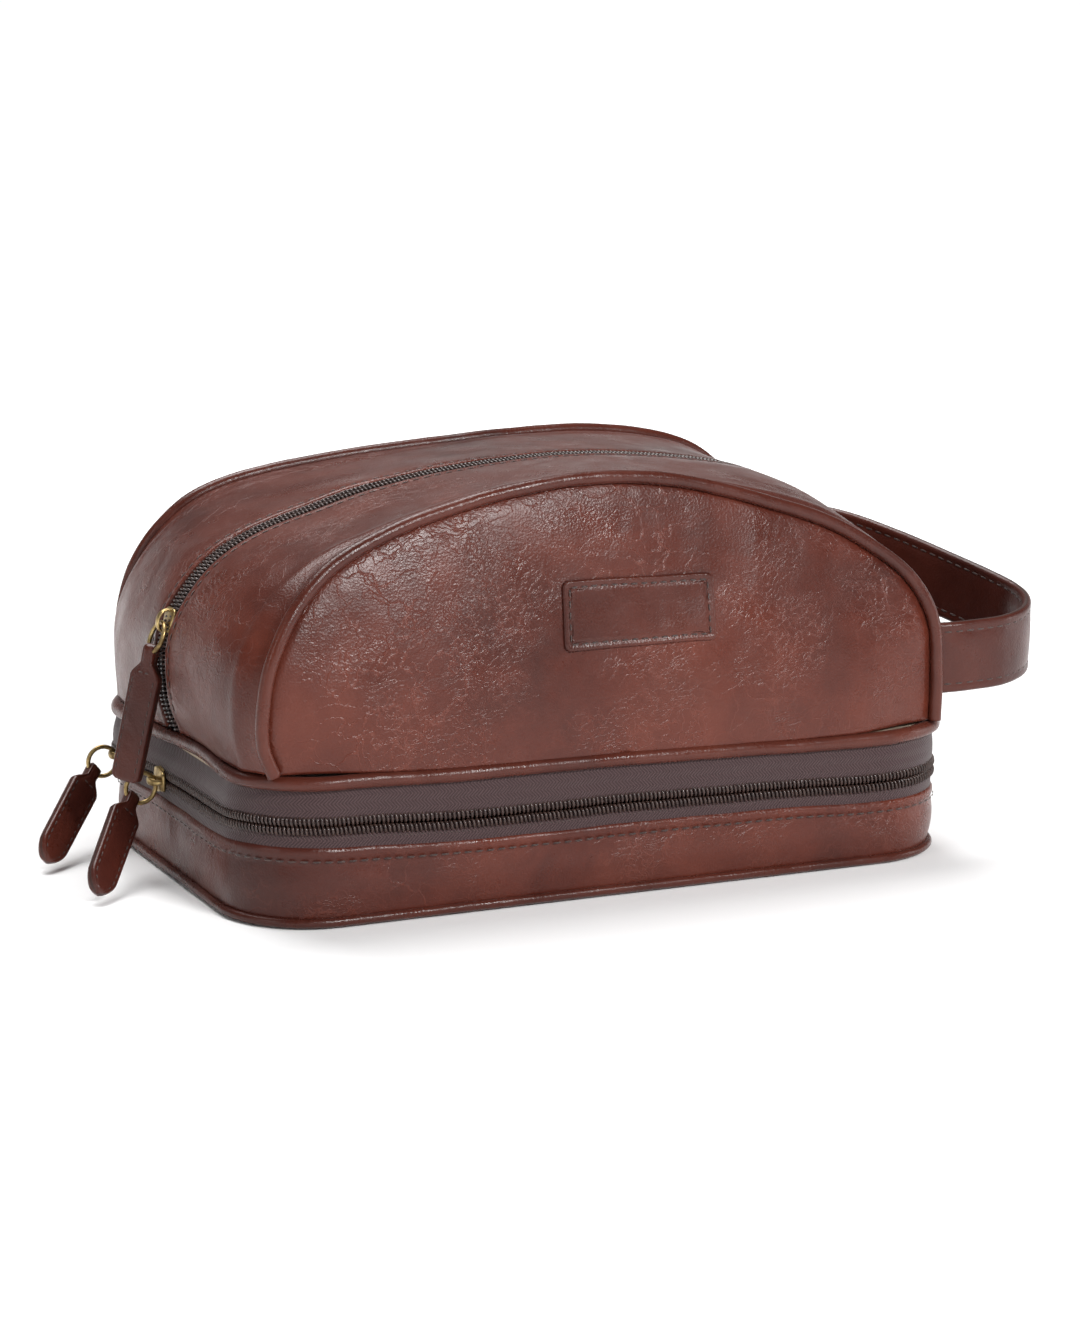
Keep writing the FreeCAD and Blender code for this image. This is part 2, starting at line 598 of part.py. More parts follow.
def pull_ring(label, place):
    """A wire ring hanging from its own origin: its middle is one radius below."""
    hoop = doc.addObject("Part::Torus", label)
    hoop.setExpression("Radius1", cell("ring_radius"))
    hoop.setExpression("Radius2", cell("ring_wire / 2"))
    upright = Placement(Vector(0, 0, -size("ring_radius")), Rotation(Vector(0, 1, 0), 90))
    hoop.Placement = place.multiply(upright)
    return finish_node(hoop, label)


def pull_tab(label, place):
    """A long leather pull hanging from the eye at its own origin, wire running across it along Y."""
    body = doc.addObject("PartDesign::Body", label)
    sketch = body_sketch(body, label + "_outline", "YZ_Plane")
    top = value_of("tab_hole_inset")
    foot = top - size("tab_length")
    neck, wide, end = size("tab_neck") / 2, size("tab_width") / 2, size("tab_end_width") / 2
    shoulder = top - size("tab_shoulder")
    under_neck = top - size("tab_neck_length")
    right = [(neck, top), (neck, under_neck), (wide, shoulder), (end, foot)]
    ends = [(-neck, top)] + right + [(-x, y) for x, y in right[:0:-1]]
    count = len(ends)
    for k, start in enumerate(ends):
        finish = ends[(k + 1) % count]
        sketch.addGeometry(Part.LineSegment(Vector(*start, 0), Vector(*finish, 0)), False)
    for k in range(count):
        sketch.addConstraint(Sketcher.Constraint("Coincident", k, 2, (k + 1) % count, 1))
        if k < count / 2:
            sketch.addConstraint(Sketcher.Constraint("Symmetric", k, 2, (count - k) % count, 1, -2))
    dimension(sketch, "DistanceX", (-1, 1, 0, 2), "neck", "tab_neck / 2")
    dimension(sketch, "DistanceX", (-1, 1, 1, 2), "under_neck", "tab_neck / 2")
    dimension(sketch, "DistanceX", (-1, 1, 2, 2), "wide", "tab_width / 2")
    dimension(sketch, "DistanceX", (-1, 1, 3, 2), "end", "tab_end_width / 2")
    dimension(sketch, "DistanceY", (-1, 1, 0, 2), "above_eye", "tab_hole_inset")
    dimension(sketch, "DistanceY", (1, 2, 0, 2), "neck_length", "tab_neck_length")
    dimension(sketch, "DistanceY", (2, 2, 0, 2), "shoulder", "tab_shoulder")
    dimension(sketch, "DistanceY", (3, 2, 0, 2), "length", "tab_length")
    pad(body, sketch, "tab_thickness", True)
    doc.recompute()
    full = body.Shape.Volume
    eye = body_sketch(body, label + "_eye", "XZ_Plane")
    eye.addGeometry(Part.Circle(Vector(0, 0, 0), Vector(0, 0, 1), size("tab_hole_radius")), False)
    eye.addConstraint(Sketcher.Constraint("Coincident", 0, 3, -1, 1))
    dimension(eye, "Radius", (0,), "eye", "tab_hole_radius")
    pocket = body.newObject("PartDesign::Pocket", label + "_pocket")
    pocket.Profile = eye
    pocket.Type = "ThroughAll"
    pocket.Midplane = True
    doc.recompute()
    if not body.Shape.Volume < full:
        raise ValueError(label + " has no eye")
    body.Placement = place
    return finish_node(body, label)


def frame_at(point, down, across):
    """The placement of a hanging piece: its -Z points down the given way, its Y lies across."""
    upward = Vector(down).normalize() * -1
    return Placement(point, Rotation(across.cross(upward), across, upward, "XYZ"))


def slanted(angle, swing):
    """A direction that leaves the vertical by angle towards -X, then swings towards -Y."""
    lean, turn = math.radians(angle), math.radians(swing)
    return Vector(-math.sin(lean) * math.cos(turn), -math.sin(turn), -math.cos(lean) * math.cos(turn))


def shoulder_centre():
    rise = size("crown_radius") - size("shoulder_radius")
    x = size("base_length") / 2 - size("shoulder_radius")
    return Vector(-x, 0, size("dome_height") - size("crown_radius") + math.sqrt(rise ** 2 - x ** 2))


def eye_reach():
    """From the wire where a ring hangs to the middle of a tab's eye, straight across the ring."""
    return 2 * size("ring_radius") - size("tab_hole_shift")


RING_LIFT = size("coil_depth") / 2 + size("plate_clearance") + size("plate_thickness") + size("ring_seat")


def top_pull():
    """The main zip's slider, part of the way up the left shoulder, its pull hanging down the end."""
    out = slanted(90 + size("top_slider_angle"), 0)
    along = Vector(-out.z, 0, out.x) * -1
    across = along.cross(out)
    radius = size("shoulder_radius") - size("top_zip_inset")
    place = Placement(shoulder_centre() + out * radius, Rotation(out, across, along, "XYZ"))
    slider_body("main_slider", place)
    slider_bail("main_bail", place)
    ring_at = place.Base + out * RING_LIFT - along * size("top_ring_drop")
    ring_down = slanted(size("top_ring_angle"), 0)
    pull_ring("main_ring", frame_at(ring_at, ring_down, across))
    eye = ring_at + ring_down * eye_reach()
    pull_tab("main_tab", frame_at(eye, slanted(size("top_tab_angle"), 0), across))


def low_pull(where, y, angle, swing):
    """A tray zip slider on the left end; its ring hangs on the bail and its pull slants down and forward."""
    out = Vector(-1, 0, 0)
    along = Vector(0, 1, 0)
    at = Vector(size("low_zip_inset") - size("base_length") / 2, y, size("low_zip_height"))
    place = Placement(at, Rotation(out, along.cross(out), along, "XYZ"))
    slider_body(where + "_slider", place)
    slider_bail(where + "_bail", place)
    ring_at = at + out * RING_LIFT
    ring_out = slanted(90 - size("low_ring_angle"), 0)
    pull_ring(where + "_ring", frame_at(ring_at, ring_out, Vector(ring_out.z, 0, -ring_out.x)))
    middle = ring_at + ring_out * size("ring_radius")
    radial = slanted(angle, 0)
    eye = middle + radial * (size("ring_radius") - size("tab_hole_shift"))
    pull_tab(where + "_tab", frame_at(eye, slanted(angle, swing), Vector(radial.z, 0, -radial.x)))


label_patch()
strap_layer("handle_outer_leather", 0, size("strap_layer"))
strap_layer("handle_inner_leather", -size("strap_layer"), 0)
strap_end("handle_end_front", -1)
strap_end("handle_end_back", 1)
top_pull()
low_pull("tray_front", size("front_slider_y"), size("front_tab_angle"), size("front_tab_swing"))
low_pull("tray_back", size("base_width") / 2 - size("corner_radius"), size("back_tab_angle"),
         size("back_tab_swing"))

# ---- check and write -----------------------------------------------------------------------

doc.recompute()
for item in doc.Objects:
    if "Invalid" in item.State or "Error" in item.State:
        raise ValueError(item.Label + " failed: " + ", ".join(item.State))
for piece in nodes:
    if piece.Shape.isNull() or not piece.Shape.isValid():
        raise ValueError(piece.Label + " has no valid shape")

os.makedirs("parts", exist_ok=True)
for piece in nodes:
    piece.Shape.exportStep(os.path.join("parts", piece.Label + ".step"))
print(len(nodes), "pieces written")
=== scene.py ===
import json
import math

import bpy
import numpy as np
from mathutils import Matrix, Vector, noise


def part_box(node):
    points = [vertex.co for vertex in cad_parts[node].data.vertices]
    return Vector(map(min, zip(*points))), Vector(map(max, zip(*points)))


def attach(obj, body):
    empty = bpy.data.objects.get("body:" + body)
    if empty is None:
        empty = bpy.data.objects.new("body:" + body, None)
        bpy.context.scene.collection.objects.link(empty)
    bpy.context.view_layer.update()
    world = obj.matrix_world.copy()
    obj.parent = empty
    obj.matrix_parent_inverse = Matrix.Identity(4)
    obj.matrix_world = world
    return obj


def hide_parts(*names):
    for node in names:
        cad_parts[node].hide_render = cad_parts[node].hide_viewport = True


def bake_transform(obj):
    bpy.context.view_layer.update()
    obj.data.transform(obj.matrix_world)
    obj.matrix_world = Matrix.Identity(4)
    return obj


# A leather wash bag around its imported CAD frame.  Metres, +Z up, X along the length with the pulls
# at -X and the carry strap at +X, front at -Y.  Soft pieces are lofted from a few course lines and
# then all pushed through one gentle "slump" so that neighbours stay together.

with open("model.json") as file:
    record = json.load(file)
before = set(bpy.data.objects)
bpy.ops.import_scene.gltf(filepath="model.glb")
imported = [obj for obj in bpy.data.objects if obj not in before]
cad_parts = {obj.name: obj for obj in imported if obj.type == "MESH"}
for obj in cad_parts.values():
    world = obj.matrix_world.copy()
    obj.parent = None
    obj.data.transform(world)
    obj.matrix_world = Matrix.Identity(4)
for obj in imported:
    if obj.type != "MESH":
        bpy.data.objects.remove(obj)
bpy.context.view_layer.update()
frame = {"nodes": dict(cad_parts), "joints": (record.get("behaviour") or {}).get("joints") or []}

MM = 0.001
FRONT, BACK = -1, 1

# ---- sizes read from the frame -------------------------------------------------------------

piping_low, piping_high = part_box("base_piping")
HALF_LENGTH = piping_high.x
HALF_WIDTH = piping_high.y
PLAN_CORNER = 32 * MM
PIPING_R = (piping_high.z - piping_low.z) / 2
PIPING_Z = (piping_high.z + piping_low.z) / 2
BOARD_LOW = piping_low.z
DOME_FOOT = piping_high.z
WALL_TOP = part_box("tray_wall")[1].z
LOW_COIL_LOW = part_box("tray_zip_coil")[0].z
LOW_COIL_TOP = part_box("upper_zip_coil")[1].z
LOW_ZIP_Z = (LOW_COIL_LOW + LOW_COIL_TOP) / 2
LOW_ZIP_INSET = HALF_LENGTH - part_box("tray_zip_coil")[1].x + 1.1 * MM
ZIP_BACK_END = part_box("hinge_leather_lower")[1].x
DOME_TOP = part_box("main_zip_tape_front")[1].z


# ---- small mathematics ---------------------------------------------------------------------

def smoothstep(low, high, value):
    t = np.clip((np.asarray(value, float) - low) / (high - low), 0, 1)
    return t * t * (3 - 2 * t)


def hump(value, centre, width):
    return np.exp(-((np.asarray(value, float) - centre) / width) ** 2)


def unit(vectors):
    length = np.linalg.norm(vectors, axis=-1, keepdims=True)
    return vectors / np.maximum(length, 1e-12)


def resample(points, count, closed=False):
    """Points at equal steps along a line."""
    points = np.asarray(points, float)
    if closed:
        points = np.vstack([points, points[:1]])
    steps = np.linalg.norm(np.diff(points, axis=0), axis=1)
    travel = np.concatenate([[0], np.cumsum(steps)])
    wanted = np.linspace(0, travel[-1], count + 1 if closed else count)
    out = np.column_stack([np.interp(wanted, travel, points[:, k]) for k in range(points.shape[1])])
    return out[:-1] if closed else out


def smooth_line(controls, count):
    """A smooth line through a few control points, in equal steps."""
    p = np.asarray(controls, float)
    p = np.vstack([2 * p[0] - p[1], p, 2 * p[-1] - p[-2]])
    line = []
    for k in range(1, len(p) - 2):
        t = np.linspace(0, 1, 24, endpoint=False)[:, None]
        a, b, c, d = p[k - 1], p[k], p[k + 1], p[k + 2]
        line.append(0.5 * (2 * b + (c - a) * t + (2 * a - 5 * b + 4 * c - d) * t ** 2
                           + (3 * b - a - 3 * c + d) * t ** 3))
    line.append(p[-2][None])
    return resample(np.vstack(line), count)


def length_of(line):
    return float(np.linalg.norm(np.diff(np.asarray(line), axis=0), axis=1).sum())


def bumps(points, scale, height):
    """Slow, repeatable unevenness: one noise vector for each point."""
    flat = np.asarray(points).reshape(-1, 3)
    out = np.array([noise.noise_vector(Vector(p) / scale) for p in flat])
    return out.reshape(np.shape(points)) * height


def slump(points):
    """The give of a used bag: the right end sags, the left end is pressed in, all of it a little uneven."""
    p = np.array(points, float)
    x, y, z = p[..., 0].copy(), p[..., 1].copy(), p[..., 2].copy()
    mid = hump(z, 42 * MM, 26 * MM)
    p[..., 2] -= 2.6 * MM * smoothstep(-0.02, 0.11, x) * mid * smoothstep(0.06, -0.03, y)
    corner = hump(np.hypot(x + 0.118, y + 0.07), 0, 0.04) * hump(z, 27 * MM, 10 * MM)
    p[..., 2] += 2.2 * MM * corner
    press = hump(y, -20 * MM, 26 * MM) * hump(z, 47 * MM, 9 * MM) * smoothstep(-0.10, -0.125, x)
    p[..., 0] += 3.5 * MM * press
    swell = smoothstep(0.10, 0.13, x) * hump(z, 30 * MM, 40 * MM)
    p[..., 0] += 3.5 * MM * swell
    back_corner = hump(y, 45 * MM, 28 * MM) * hump(z, 36 * MM, 9 * MM) * smoothstep(-0.10, -0.125, x)
    p[..., 0] -= 3.0 * MM * back_corner
    grip = smoothstep(0.0, 0.02, z)
    p += (bumps(points, 0.055, 1.0 * MM) + bumps(points, 0.02, 0.28 * MM)) * grip[..., None]
    return p


# ---- course lines --------------------------------------------------------------------------

ROWS = 300


def plan(count, start=0.0, end=1.0):
    """Points and outward normals round the plan, from the back middle by way of the left end."""
    a, b, r = HALF_LENGTH, HALF_WIDTH, PLAN_CORNER
    line, out = [], []

    def run(p, q, normal):
        for t in np.linspace(0, 1, 60, endpoint=False):
            line.append((p[0] + (q[0] - p[0]) * t, p[1] + (q[1] - p[1]) * t))
            out.append(normal)

    def turn(cx, cy, first):
        for t in np.linspace(0, 90, 40, endpoint=False):
            angle = math.radians(first + t)
            line.append((cx + r * math.cos(angle), cy + r * math.sin(angle)))
            out.append((math.cos(angle), math.sin(angle)))

    run((0, b), (r - a, b), (0, 1))
    turn(r - a, b - r, 90)
    run((-a, b - r), (-a, r - b), (-1, 0))
    turn(r - a, r - b, 180)
    run((r - a, -b), (a - r, -b), (0, -1))
    turn(a - r, r - b, 270)
    run((a, r - b), (a, b - r), (1, 0))
    turn(a - r, b - r, 0)
    run((a - r, b), (0, b), (0, 1))
    line.append((0, b))
    out.append((0, 1))
    both = np.hstack([np.array(line), np.array(out)])
    steps = np.linalg.norm(np.diff(both[:, :2], axis=0), axis=1)
    travel = np.concatenate([[0], np.cumsum(steps)])
    wanted = np.linspace(start, end, count) * travel[-1]
    got = np.column_stack([np.interp(wanted, travel, both[:, k]) for k in range(4)])
    return got[:, :2], unit(got[:, 2:]), wanted


PERIMETER = float(plan(2)[2][-1])
BACK_STOP = ZIP_BACK_END / PERIMETER

LEAN_ANGLE = math.radians(10.7)
LEAN = math.tan(LEAN_ANGLE)
FACE_INSET = 2 * MM


def leaning(side, x, z):
    """A point of the front or back face's plane, drawn in round the plan's corners near the foot."""
    y = HALF_WIDTH - FACE_INSET - (z - DOME_FOOT) * LEAN
    wrap = smoothstep(0.095, 0.125, abs(x)) * smoothstep(0.085, DOME_FOOT, z)
    return (x, side * (y - 6 * MM * float(wrap)), z)


# Arches as (x, z) in mm, left foot to right foot.
ZIP_ARCH = [(-131, 50), (-133, 64), (-133, 80), (-128, 93), (-117, 107), (-102, 116), (-80, 123),
            (-50, 130), (-15, 135), (15, 136.4), (50, 134.5), (82, 128.5), (104, 117), (120, 101),
            (129, 82), (132, 64), (130, 50)]
FRONT_ARCH = [(-122, 50), (-125, 60), (-125, 72), (-121, 88), (-110, 106), (-93, 119), (-62, 130),
              (-30, 136), (0, 137.5), (28, 135), (56, 128), (82, 119), (101, 108), (114, 97),
              (121, 83), (122, 66), (121, 50)]
BACK_ARCH = [(-121, 50), (-122.5, 62), (-122, 78), (-118, 94), (-109.5, 107.5), (-96, 118),
             (-72, 125.2), (-36, 130.5), (0, 133.3), (38, 134.0), (72, 132.3), (97, 126.0), (114, 113),
             (122, 98), (126, 80), (127, 63), (124, 50)]

zip_line = smooth_line([(x * MM, 0, z * MM) for x, z in ZIP_ARCH], ROWS)
edge_line = {side: smooth_line([leaning(side, x * MM, z * MM) for x, z in arch], ROWS)
             for side, arch in ((FRONT, FRONT_ARCH), (BACK, BACK_ARCH))}


def dome_at(side, reach, lift=0.0):
    """The dome's skin beside the zip: reach (rows x columns) is how far from the middle plane, as a
    share of the way to the edge piping, and lift raises it outwards."""
    edge = edge_line[side][:, None, :]
    middle = zip_line[:, None, :]
    share = np.asarray(reach, float)
    rise = np.clip((middle[..., 2] - DOME_FOOT) / (DOME_TOP - DOME_FOOT), 0, 1)
    power = 6.0 - 3.8 * rise
    bend = np.power(np.clip(share, 0, 1.2), power)
    points = np.empty(share.shape + (3,))
    points[..., 0] = middle[..., 0] + (edge[..., 0] - middle[..., 0]) * bend
    points[..., 1] = edge[..., 1] * share
    points[..., 2] = middle[..., 2] + (edge[..., 2] - middle[..., 2]) * bend
    if np.ndim(lift) == 0 and lift == 0:
        return points
    return points + dome_normals(side, share) * np.broadcast_to(lift, share.shape)[..., None]


def dome_normals(side, share):
    step = 0.02
    here = dome_at(side, share)
    across = dome_at(side, share + step) - dome_at(side, share - step)
    along = np.gradient(here, axis=0)
    normal = unit(np.cross(along, across))
    outward = here - np.array([0, 0, 0.05])
    sign = np.sign((normal * outward).sum(-1, keepdims=True))
    return normal * sign


def reach_of(side, distance):
    """Distance from the middle plane, in metres, as a share of the way to the edge on every row."""
    edge = np.abs(edge_line[side][:, 1])[:, None]
    return np.asarray(distance, float)[None, :] / edge


# ---- mesh making ---------------------------------------------------------------------------

def make(name, verts, faces, uvs=None):
    """A smooth shaded mesh object; uvs is one pair for each vertex."""
    mesh = bpy.data.meshes.new(name)
    mesh.from_pydata([tuple(v) for v in np.asarray(verts, float).reshape(-1, 3)], [], faces)
    mesh.polygons.foreach_set("use_smooth", [True] * len(mesh.polygons))
    if uvs is not None:
        layer = mesh.uv_layers.new(name="UVMap")
        corner = np.zeros(len(mesh.loops), np.int32)
        mesh.loops.foreach_get("vertex_index", corner)
        layer.data.foreach_set("uv", np.asarray(uvs, np.float32).reshape(-1, 2)[corner].ravel())
    mesh.update()
    obj = bpy.data.objects.new(name, mesh)
    bpy.context.scene.collection.objects.link(obj)
    return obj


def quads(rows, columns, close_rows=False, close_columns=False, offset=0, flip=False):
    faces = []
    for i in range(rows if close_rows else rows - 1):
        j = (i + 1) % rows
        for k in range(columns if close_columns else columns - 1):
            n = (k + 1) % columns
            face = (i * columns + k, i * columns + n, j * columns + n, j * columns + k)
            face = tuple(v + offset for v in face)
            faces.append(face[::-1] if flip else face)
    return faces


def grid_uvs(grid):
    """Metres along and across a grid, for weaves that follow it."""
    along = np.concatenate([np.zeros((1,) + grid.shape[1:2]),
                            np.cumsum(np.linalg.norm(np.diff(grid, axis=0), axis=2), axis=0)])
    across = np.concatenate([np.zeros(grid.shape[:1] + (1,)),
                             np.cumsum(np.linalg.norm(np.diff(grid, axis=1), axis=2), axis=1)], axis=1)
    along = along.mean(axis=1, keepdims=True) * np.ones_like(along)
    return np.stack([along, across], axis=-1)


def loft(name, grid, closed_ring=False, closed_run=False, caps=False, flip=False):
    """A surface through a grid of points, rows along its run and columns round its section."""
    rows, columns = grid.shape[:2]
    faces = quads(rows, columns, closed_run, closed_ring, flip=flip)
    if caps and closed_ring:
        first = tuple(range(columns))
        last = tuple(range((rows - 1) * columns, rows * columns))
        faces.append(first if flip else first[::-1])
        faces.append(last[::-1] if flip else last)
    return make(name, grid, faces, grid_uvs(grid))


def frames_along(line, up):
    """Side and over directions at each point of a line."""
    line = np.asarray(line, float)
    tangent = unit(np.gradient(line, axis=0))
    side = unit(np.cross(tangent, np.broadcast_to(np.asarray(up, float), line.shape)))
    return side, np.cross(side, tangent)


def tube(line, radius, sides, up):
    """Rings of a round tube along a line."""
    side, over = frames_along(line, up)
    angle = np.linspace(0, 2 * math.pi, sides, endpoint=False)
    radius = np.broadcast_to(np.asarray(radius, float), (len(line),))[:, None, None]
    ring = side[:, None] * np.cos(angle)[None, :, None] + over[:, None] * np.sin(angle)[None, :, None]
    return np.asarray(line)[:, None] + ring * radius


COIL_PITCH = 1.5 * MM
COIL_WIRE = 0.5 * MM
COIL_RISE = 0.95 * MM


def wound(line, up, across, radius_across, phase):
    """A monofilament coil wound along a line, as rings of its wire."""
    total = length_of(line)
    turns = int(total / COIL_PITCH)
    steps = 9
    count = turns * steps + 1
    share = np.linspace(0, 1, count)
    source = np.linspace(0, 1, len(line))
    at = np.column_stack([np.interp(share, source, line[:, k]) for k in range(3)])
    up = unit(np.column_stack([np.interp(share, source, up[:, k]) for k in range(3)]))
    across = unit(np.column_stack([np.interp(share, source, across[:, k]) for k in range(3)]))
    angle = share * turns * 2 * math.pi + phase
    path = (at + across * (np.cos(angle) * radius_across)[:, None]
            + up * (np.sin(angle) * COIL_RISE)[:, None])
    return tube(path, COIL_WIRE, 5, up)


CAPSULE = [(-1.0, 0.15), (-0.75, 0.8), (0.0, 1.0), (0.75, 0.8), (1.0, 0.15)]


def stitch_row(line, normals, length=3.0 * MM, gap=1.1 * MM, radius=0.36 * MM, closed=False):
    """Vertices and faces of a row of short thread stitches that lie along a line on a surface."""
    line = np.asarray(line, float)
    normals = np.asarray(normals, float)
    if closed:
        line = np.vstack([line, line[:1]])
        normals = np.vstack([normals, normals[:1]])
    steps = np.linalg.norm(np.diff(line, axis=0), axis=1)
    travel = np.concatenate([[0], np.cumsum(steps)])
    count = max(1, int(travel[-1] / (length + gap)))
    centres = (np.arange(count) + 0.5) * travel[-1] / count
    sides = 6
    verts, faces = [], []
    angle = np.linspace(0, 2 * math.pi, sides, endpoint=False)
    for s in centres:
        places = [min(max(s + k * length / 2, 0), travel[-1]) for k, _ in CAPSULE]
        at = np.column_stack([np.interp(places, travel, line[:, k]) for k in range(3)])
        up = unit(np.column_stack([np.interp(places, travel, normals[:, k]) for k in range(3)]))
        tangent = unit(np.gradient(at, axis=0))
        side = unit(np.cross(tangent, up))
        base = len(verts)
        for row, (k, fat) in enumerate(CAPSULE):
            sink = -0.55 * radius * abs(k) ** 3
            for a in angle:
                verts.append(at[row] + side[row] * (math.cos(a) * radius * fat)
                             + up[row] * (math.sin(a) * radius * 0.75 * fat + sink))
        faces += quads(len(CAPSULE), sides, False, True, offset=base)
        faces.append(tuple(base + k for k in range(sides))[::-1])
        faces.append(tuple(base + (len(CAPSULE) - 1) * sides + k for k in range(sides)))
    return verts, faces


def stitches(name, rows):
    """One object out of several stitch rows."""
    verts, faces = [], []
    for row_verts, row_faces in rows:
        base = len(verts)
        verts += list(row_verts)
        faces += [tuple(v + base for v in face) for face in row_faces]
    return make(name, np.array(verts), faces)


# ---- materials -----------------------------------------------------------------------------

HERRINGBONE_RUN = 2.2 * MM
HERRINGBONE_PITCH = 1.2 * MM
WEAVE_PITCH = 0.7 * MM


class Nodes:
    """A thin helper for building one node material."""

    def __init__(self, name):
        self.material = bpy.data.materials.new(name)
        self.material.use_nodes = True
        self.tree = self.material.node_tree
        self.shader = self.tree.nodes["Principled BSDF"]
        self.place = self.add("ShaderNodeTexCoord")

    def add(self, kind, **settings):
        node = self.tree.nodes.new(kind)
        for key, value in settings.items():
            setattr(node, key, value)
        return node

    def link(self, source, target):
        self.tree.links.new(source, target)

    def set(self, **values):
        for key, value in values.items():
            self.shader.inputs[key.replace("_", " ")].default_value = value

    def noise(self, scale, detail=4.0, rough=0.55, stretch=None, distort=0.0):
        source = self.place.outputs["Object"]
        if stretch:
            mapping = self.add("ShaderNodeMapping")
            mapping.inputs["Scale"].default_value = stretch
            self.link(source, mapping.inputs["Vector"])
            source = mapping.outputs["Vector"]
        node = self.add("ShaderNodeTexNoise")
        node.inputs["Scale"].default_value = scale
        node.inputs["Detail"].default_value = detail
        node.inputs["Roughness"].default_value = rough
        node.inputs["Distortion"].default_value = distort
        self.link(source, node.inputs["Vector"])
        return node.outputs["Fac"]

    def cells(self, scale, feature="DISTANCE_TO_EDGE", where=None):
        node = self.add("ShaderNodeTexVoronoi", feature=feature)
        node.inputs["Scale"].default_value = scale
        self.link(where or self.place.outputs["Object"], node.inputs["Vector"])
        return node.outputs["Distance"]

    def ramp(self, fac, stops):
        node = self.add("ShaderNodeValToRGB")
        elements = node.color_ramp.elements
        while len(elements) < len(stops):
            elements.new(0.5)
        for element, (at, colour) in zip(elements, stops):
            element.position = at
            element.color = tuple(colour) + (1,) if len(colour) == 3 else colour
        self.link(fac, node.inputs["Fac"])
        return node.outputs["Color"]

    def level(self, fac, low, high, out_low=0.0, out_high=1.0):
        node = self.add("ShaderNodeMapRange")
        for key, value in (("From Min", low), ("From Max", high),
                           ("To Min", out_low), ("To Max", out_high)):
            node.inputs[key].default_value = value
        self.link(fac, node.inputs["Value"])
        return node.outputs["Result"]

    def math(self, operation, a, b=None):
        node = self.add("ShaderNodeMath", operation=operation)
        for slot, value in enumerate((a, b)):
            if value is None:
                continue
            if isinstance(value, (int, float)):
                node.inputs[slot].default_value = value
            else:
                self.link(value, node.inputs[slot])
        return node.outputs["Value"]

    def mix(self, fac, a, b):
        node = self.add("ShaderNodeMix", data_type="RGBA")
        if isinstance(fac, (int, float)):
            node.inputs["Factor"].default_value = fac
        else:
            self.link(fac, node.inputs["Factor"])
        for socket, value in ((node.inputs[6], a), (node.inputs[7], b)):
            if isinstance(value, tuple):
                socket.default_value = value + (1,) if len(value) == 3 else value
            else:
                self.link(value, socket)
        return node.outputs[2]

    def bump(self, height, strength, distance, normal=None):
        node = self.add("ShaderNodeBump")
        node.inputs["Strength"].default_value = strength
        node.inputs["Distance"].default_value = distance
        self.link(height, node.inputs["Height"])
        if normal is not None:
            self.link(normal, node.inputs["Normal"])
        return node.outputs["Normal"]


def grow_leather(name, dark, base, light, crease=1.0, roughness=0.31, sheen=0.02):
    """Smooth milled hide: fine pebble, crackle creases that catch the light and are coloured paler, partly the
    hide's own pull-up lightening and partly a painted highlight; cloudy reddish colour.
    """
    n = Nodes(name)
    place = n.place.outputs["Object"]
    wobble = n.add("ShaderNodeTexNoise")
    wobble.inputs["Scale"].default_value = 70
    wobble.inputs["Detail"].default_value = 5
    n.link(place, wobble.inputs["Vector"])
    bent = n.add("ShaderNodeVectorMath", operation="MULTIPLY_ADD")
    n.link(wobble.outputs["Color"], bent.inputs[0])
    bent.inputs[1].default_value = (0.024, 0.024, 0.024)
    n.link(place, bent.inputs[2])
    drawn = n.add("ShaderNodeMapping")
    drawn.inputs["Scale"].default_value = (0.6, 0.8, 1.25)
    n.link(bent.outputs["Vector"], drawn.inputs["Vector"])
    cracks = n.cells(120, where=drawn.outputs["Vector"])
    small_cracks = n.cells(330, where=drawn.outputs["Vector"])
    pebble = n.cells(1250, "F1")
    cloud = n.noise(13, 6, 0.62, distort=0.5)
    patch = n.level(n.noise(17, 4, 0.6, stretch=(1, 1.3, 0.8)), 0.45, 0.68)
    small_patch = n.level(n.noise(26, 3, 0.5, distort=0.5), 0.44, 0.62)
    fine = n.noise(800, 5, 0.65)

    colour = n.ramp(cloud, [(0.30, dark), (0.5, base), (0.74, light)])
    colour = n.mix(n.level(n.noise(48, 4), 0.35, 0.8, 0.0, 0.45), colour, dark)
    line = n.math("MULTIPLY", n.level(cracks, 0.0, 0.045, 1.0, 0.0), patch)
    small = n.math("MULTIPLY", n.level(small_cracks, 0.0, 0.09, 1.0, 0.0), small_patch)
    creased = n.math("MAXIMUM", line, n.math("MULTIPLY", small, 0.7))
    # Paler colour along the creases: partly the pull-up lightening of the hide, partly a painted highlight of
    # creased ridges catching the light.
    pull_up_and_highlight = tuple(min(1.0, c * 1.5 + 0.012) for c in light)
    colour = n.mix(n.math("MULTIPLY", creased, 0.30 * crease), colour, pull_up_and_highlight)
    n.link(colour, n.shader.inputs["Base Color"])
    rough = n.level(n.noise(60, 4), 0.3, 0.7, roughness - 0.07, roughness + 0.09)
    n.link(n.math("ADD", rough, n.math("MULTIPLY", creased, 0.06)), n.shader.inputs["Roughness"])
    skin = n.bump(n.noise(30, 2, 0.45, distort=0.6), 0.6, 0.0024)
    milled = n.math("MULTIPLY", n.noise(330, 3, 0.5, stretch=(0.6, 1, 1.6), distort=0.3), patch)
    skin = n.bump(milled, 0.3 * crease, 0.0003, skin)
    skin = n.bump(pebble, 0.3, 0.0002, skin)
    skin = n.bump(fine, 0.25, 0.0002, skin)
    skin = n.bump(creased, 0.5 * crease, 0.0003, skin)
    n.link(skin, n.shader.inputs["Normal"])
    n.set(Sheen_Weight=sheen, Sheen_Roughness=0.4, Sheen_Tint=(0.8, 0.72, 0.7, 1), Specular_IOR_Level=0.3)
    return n.material


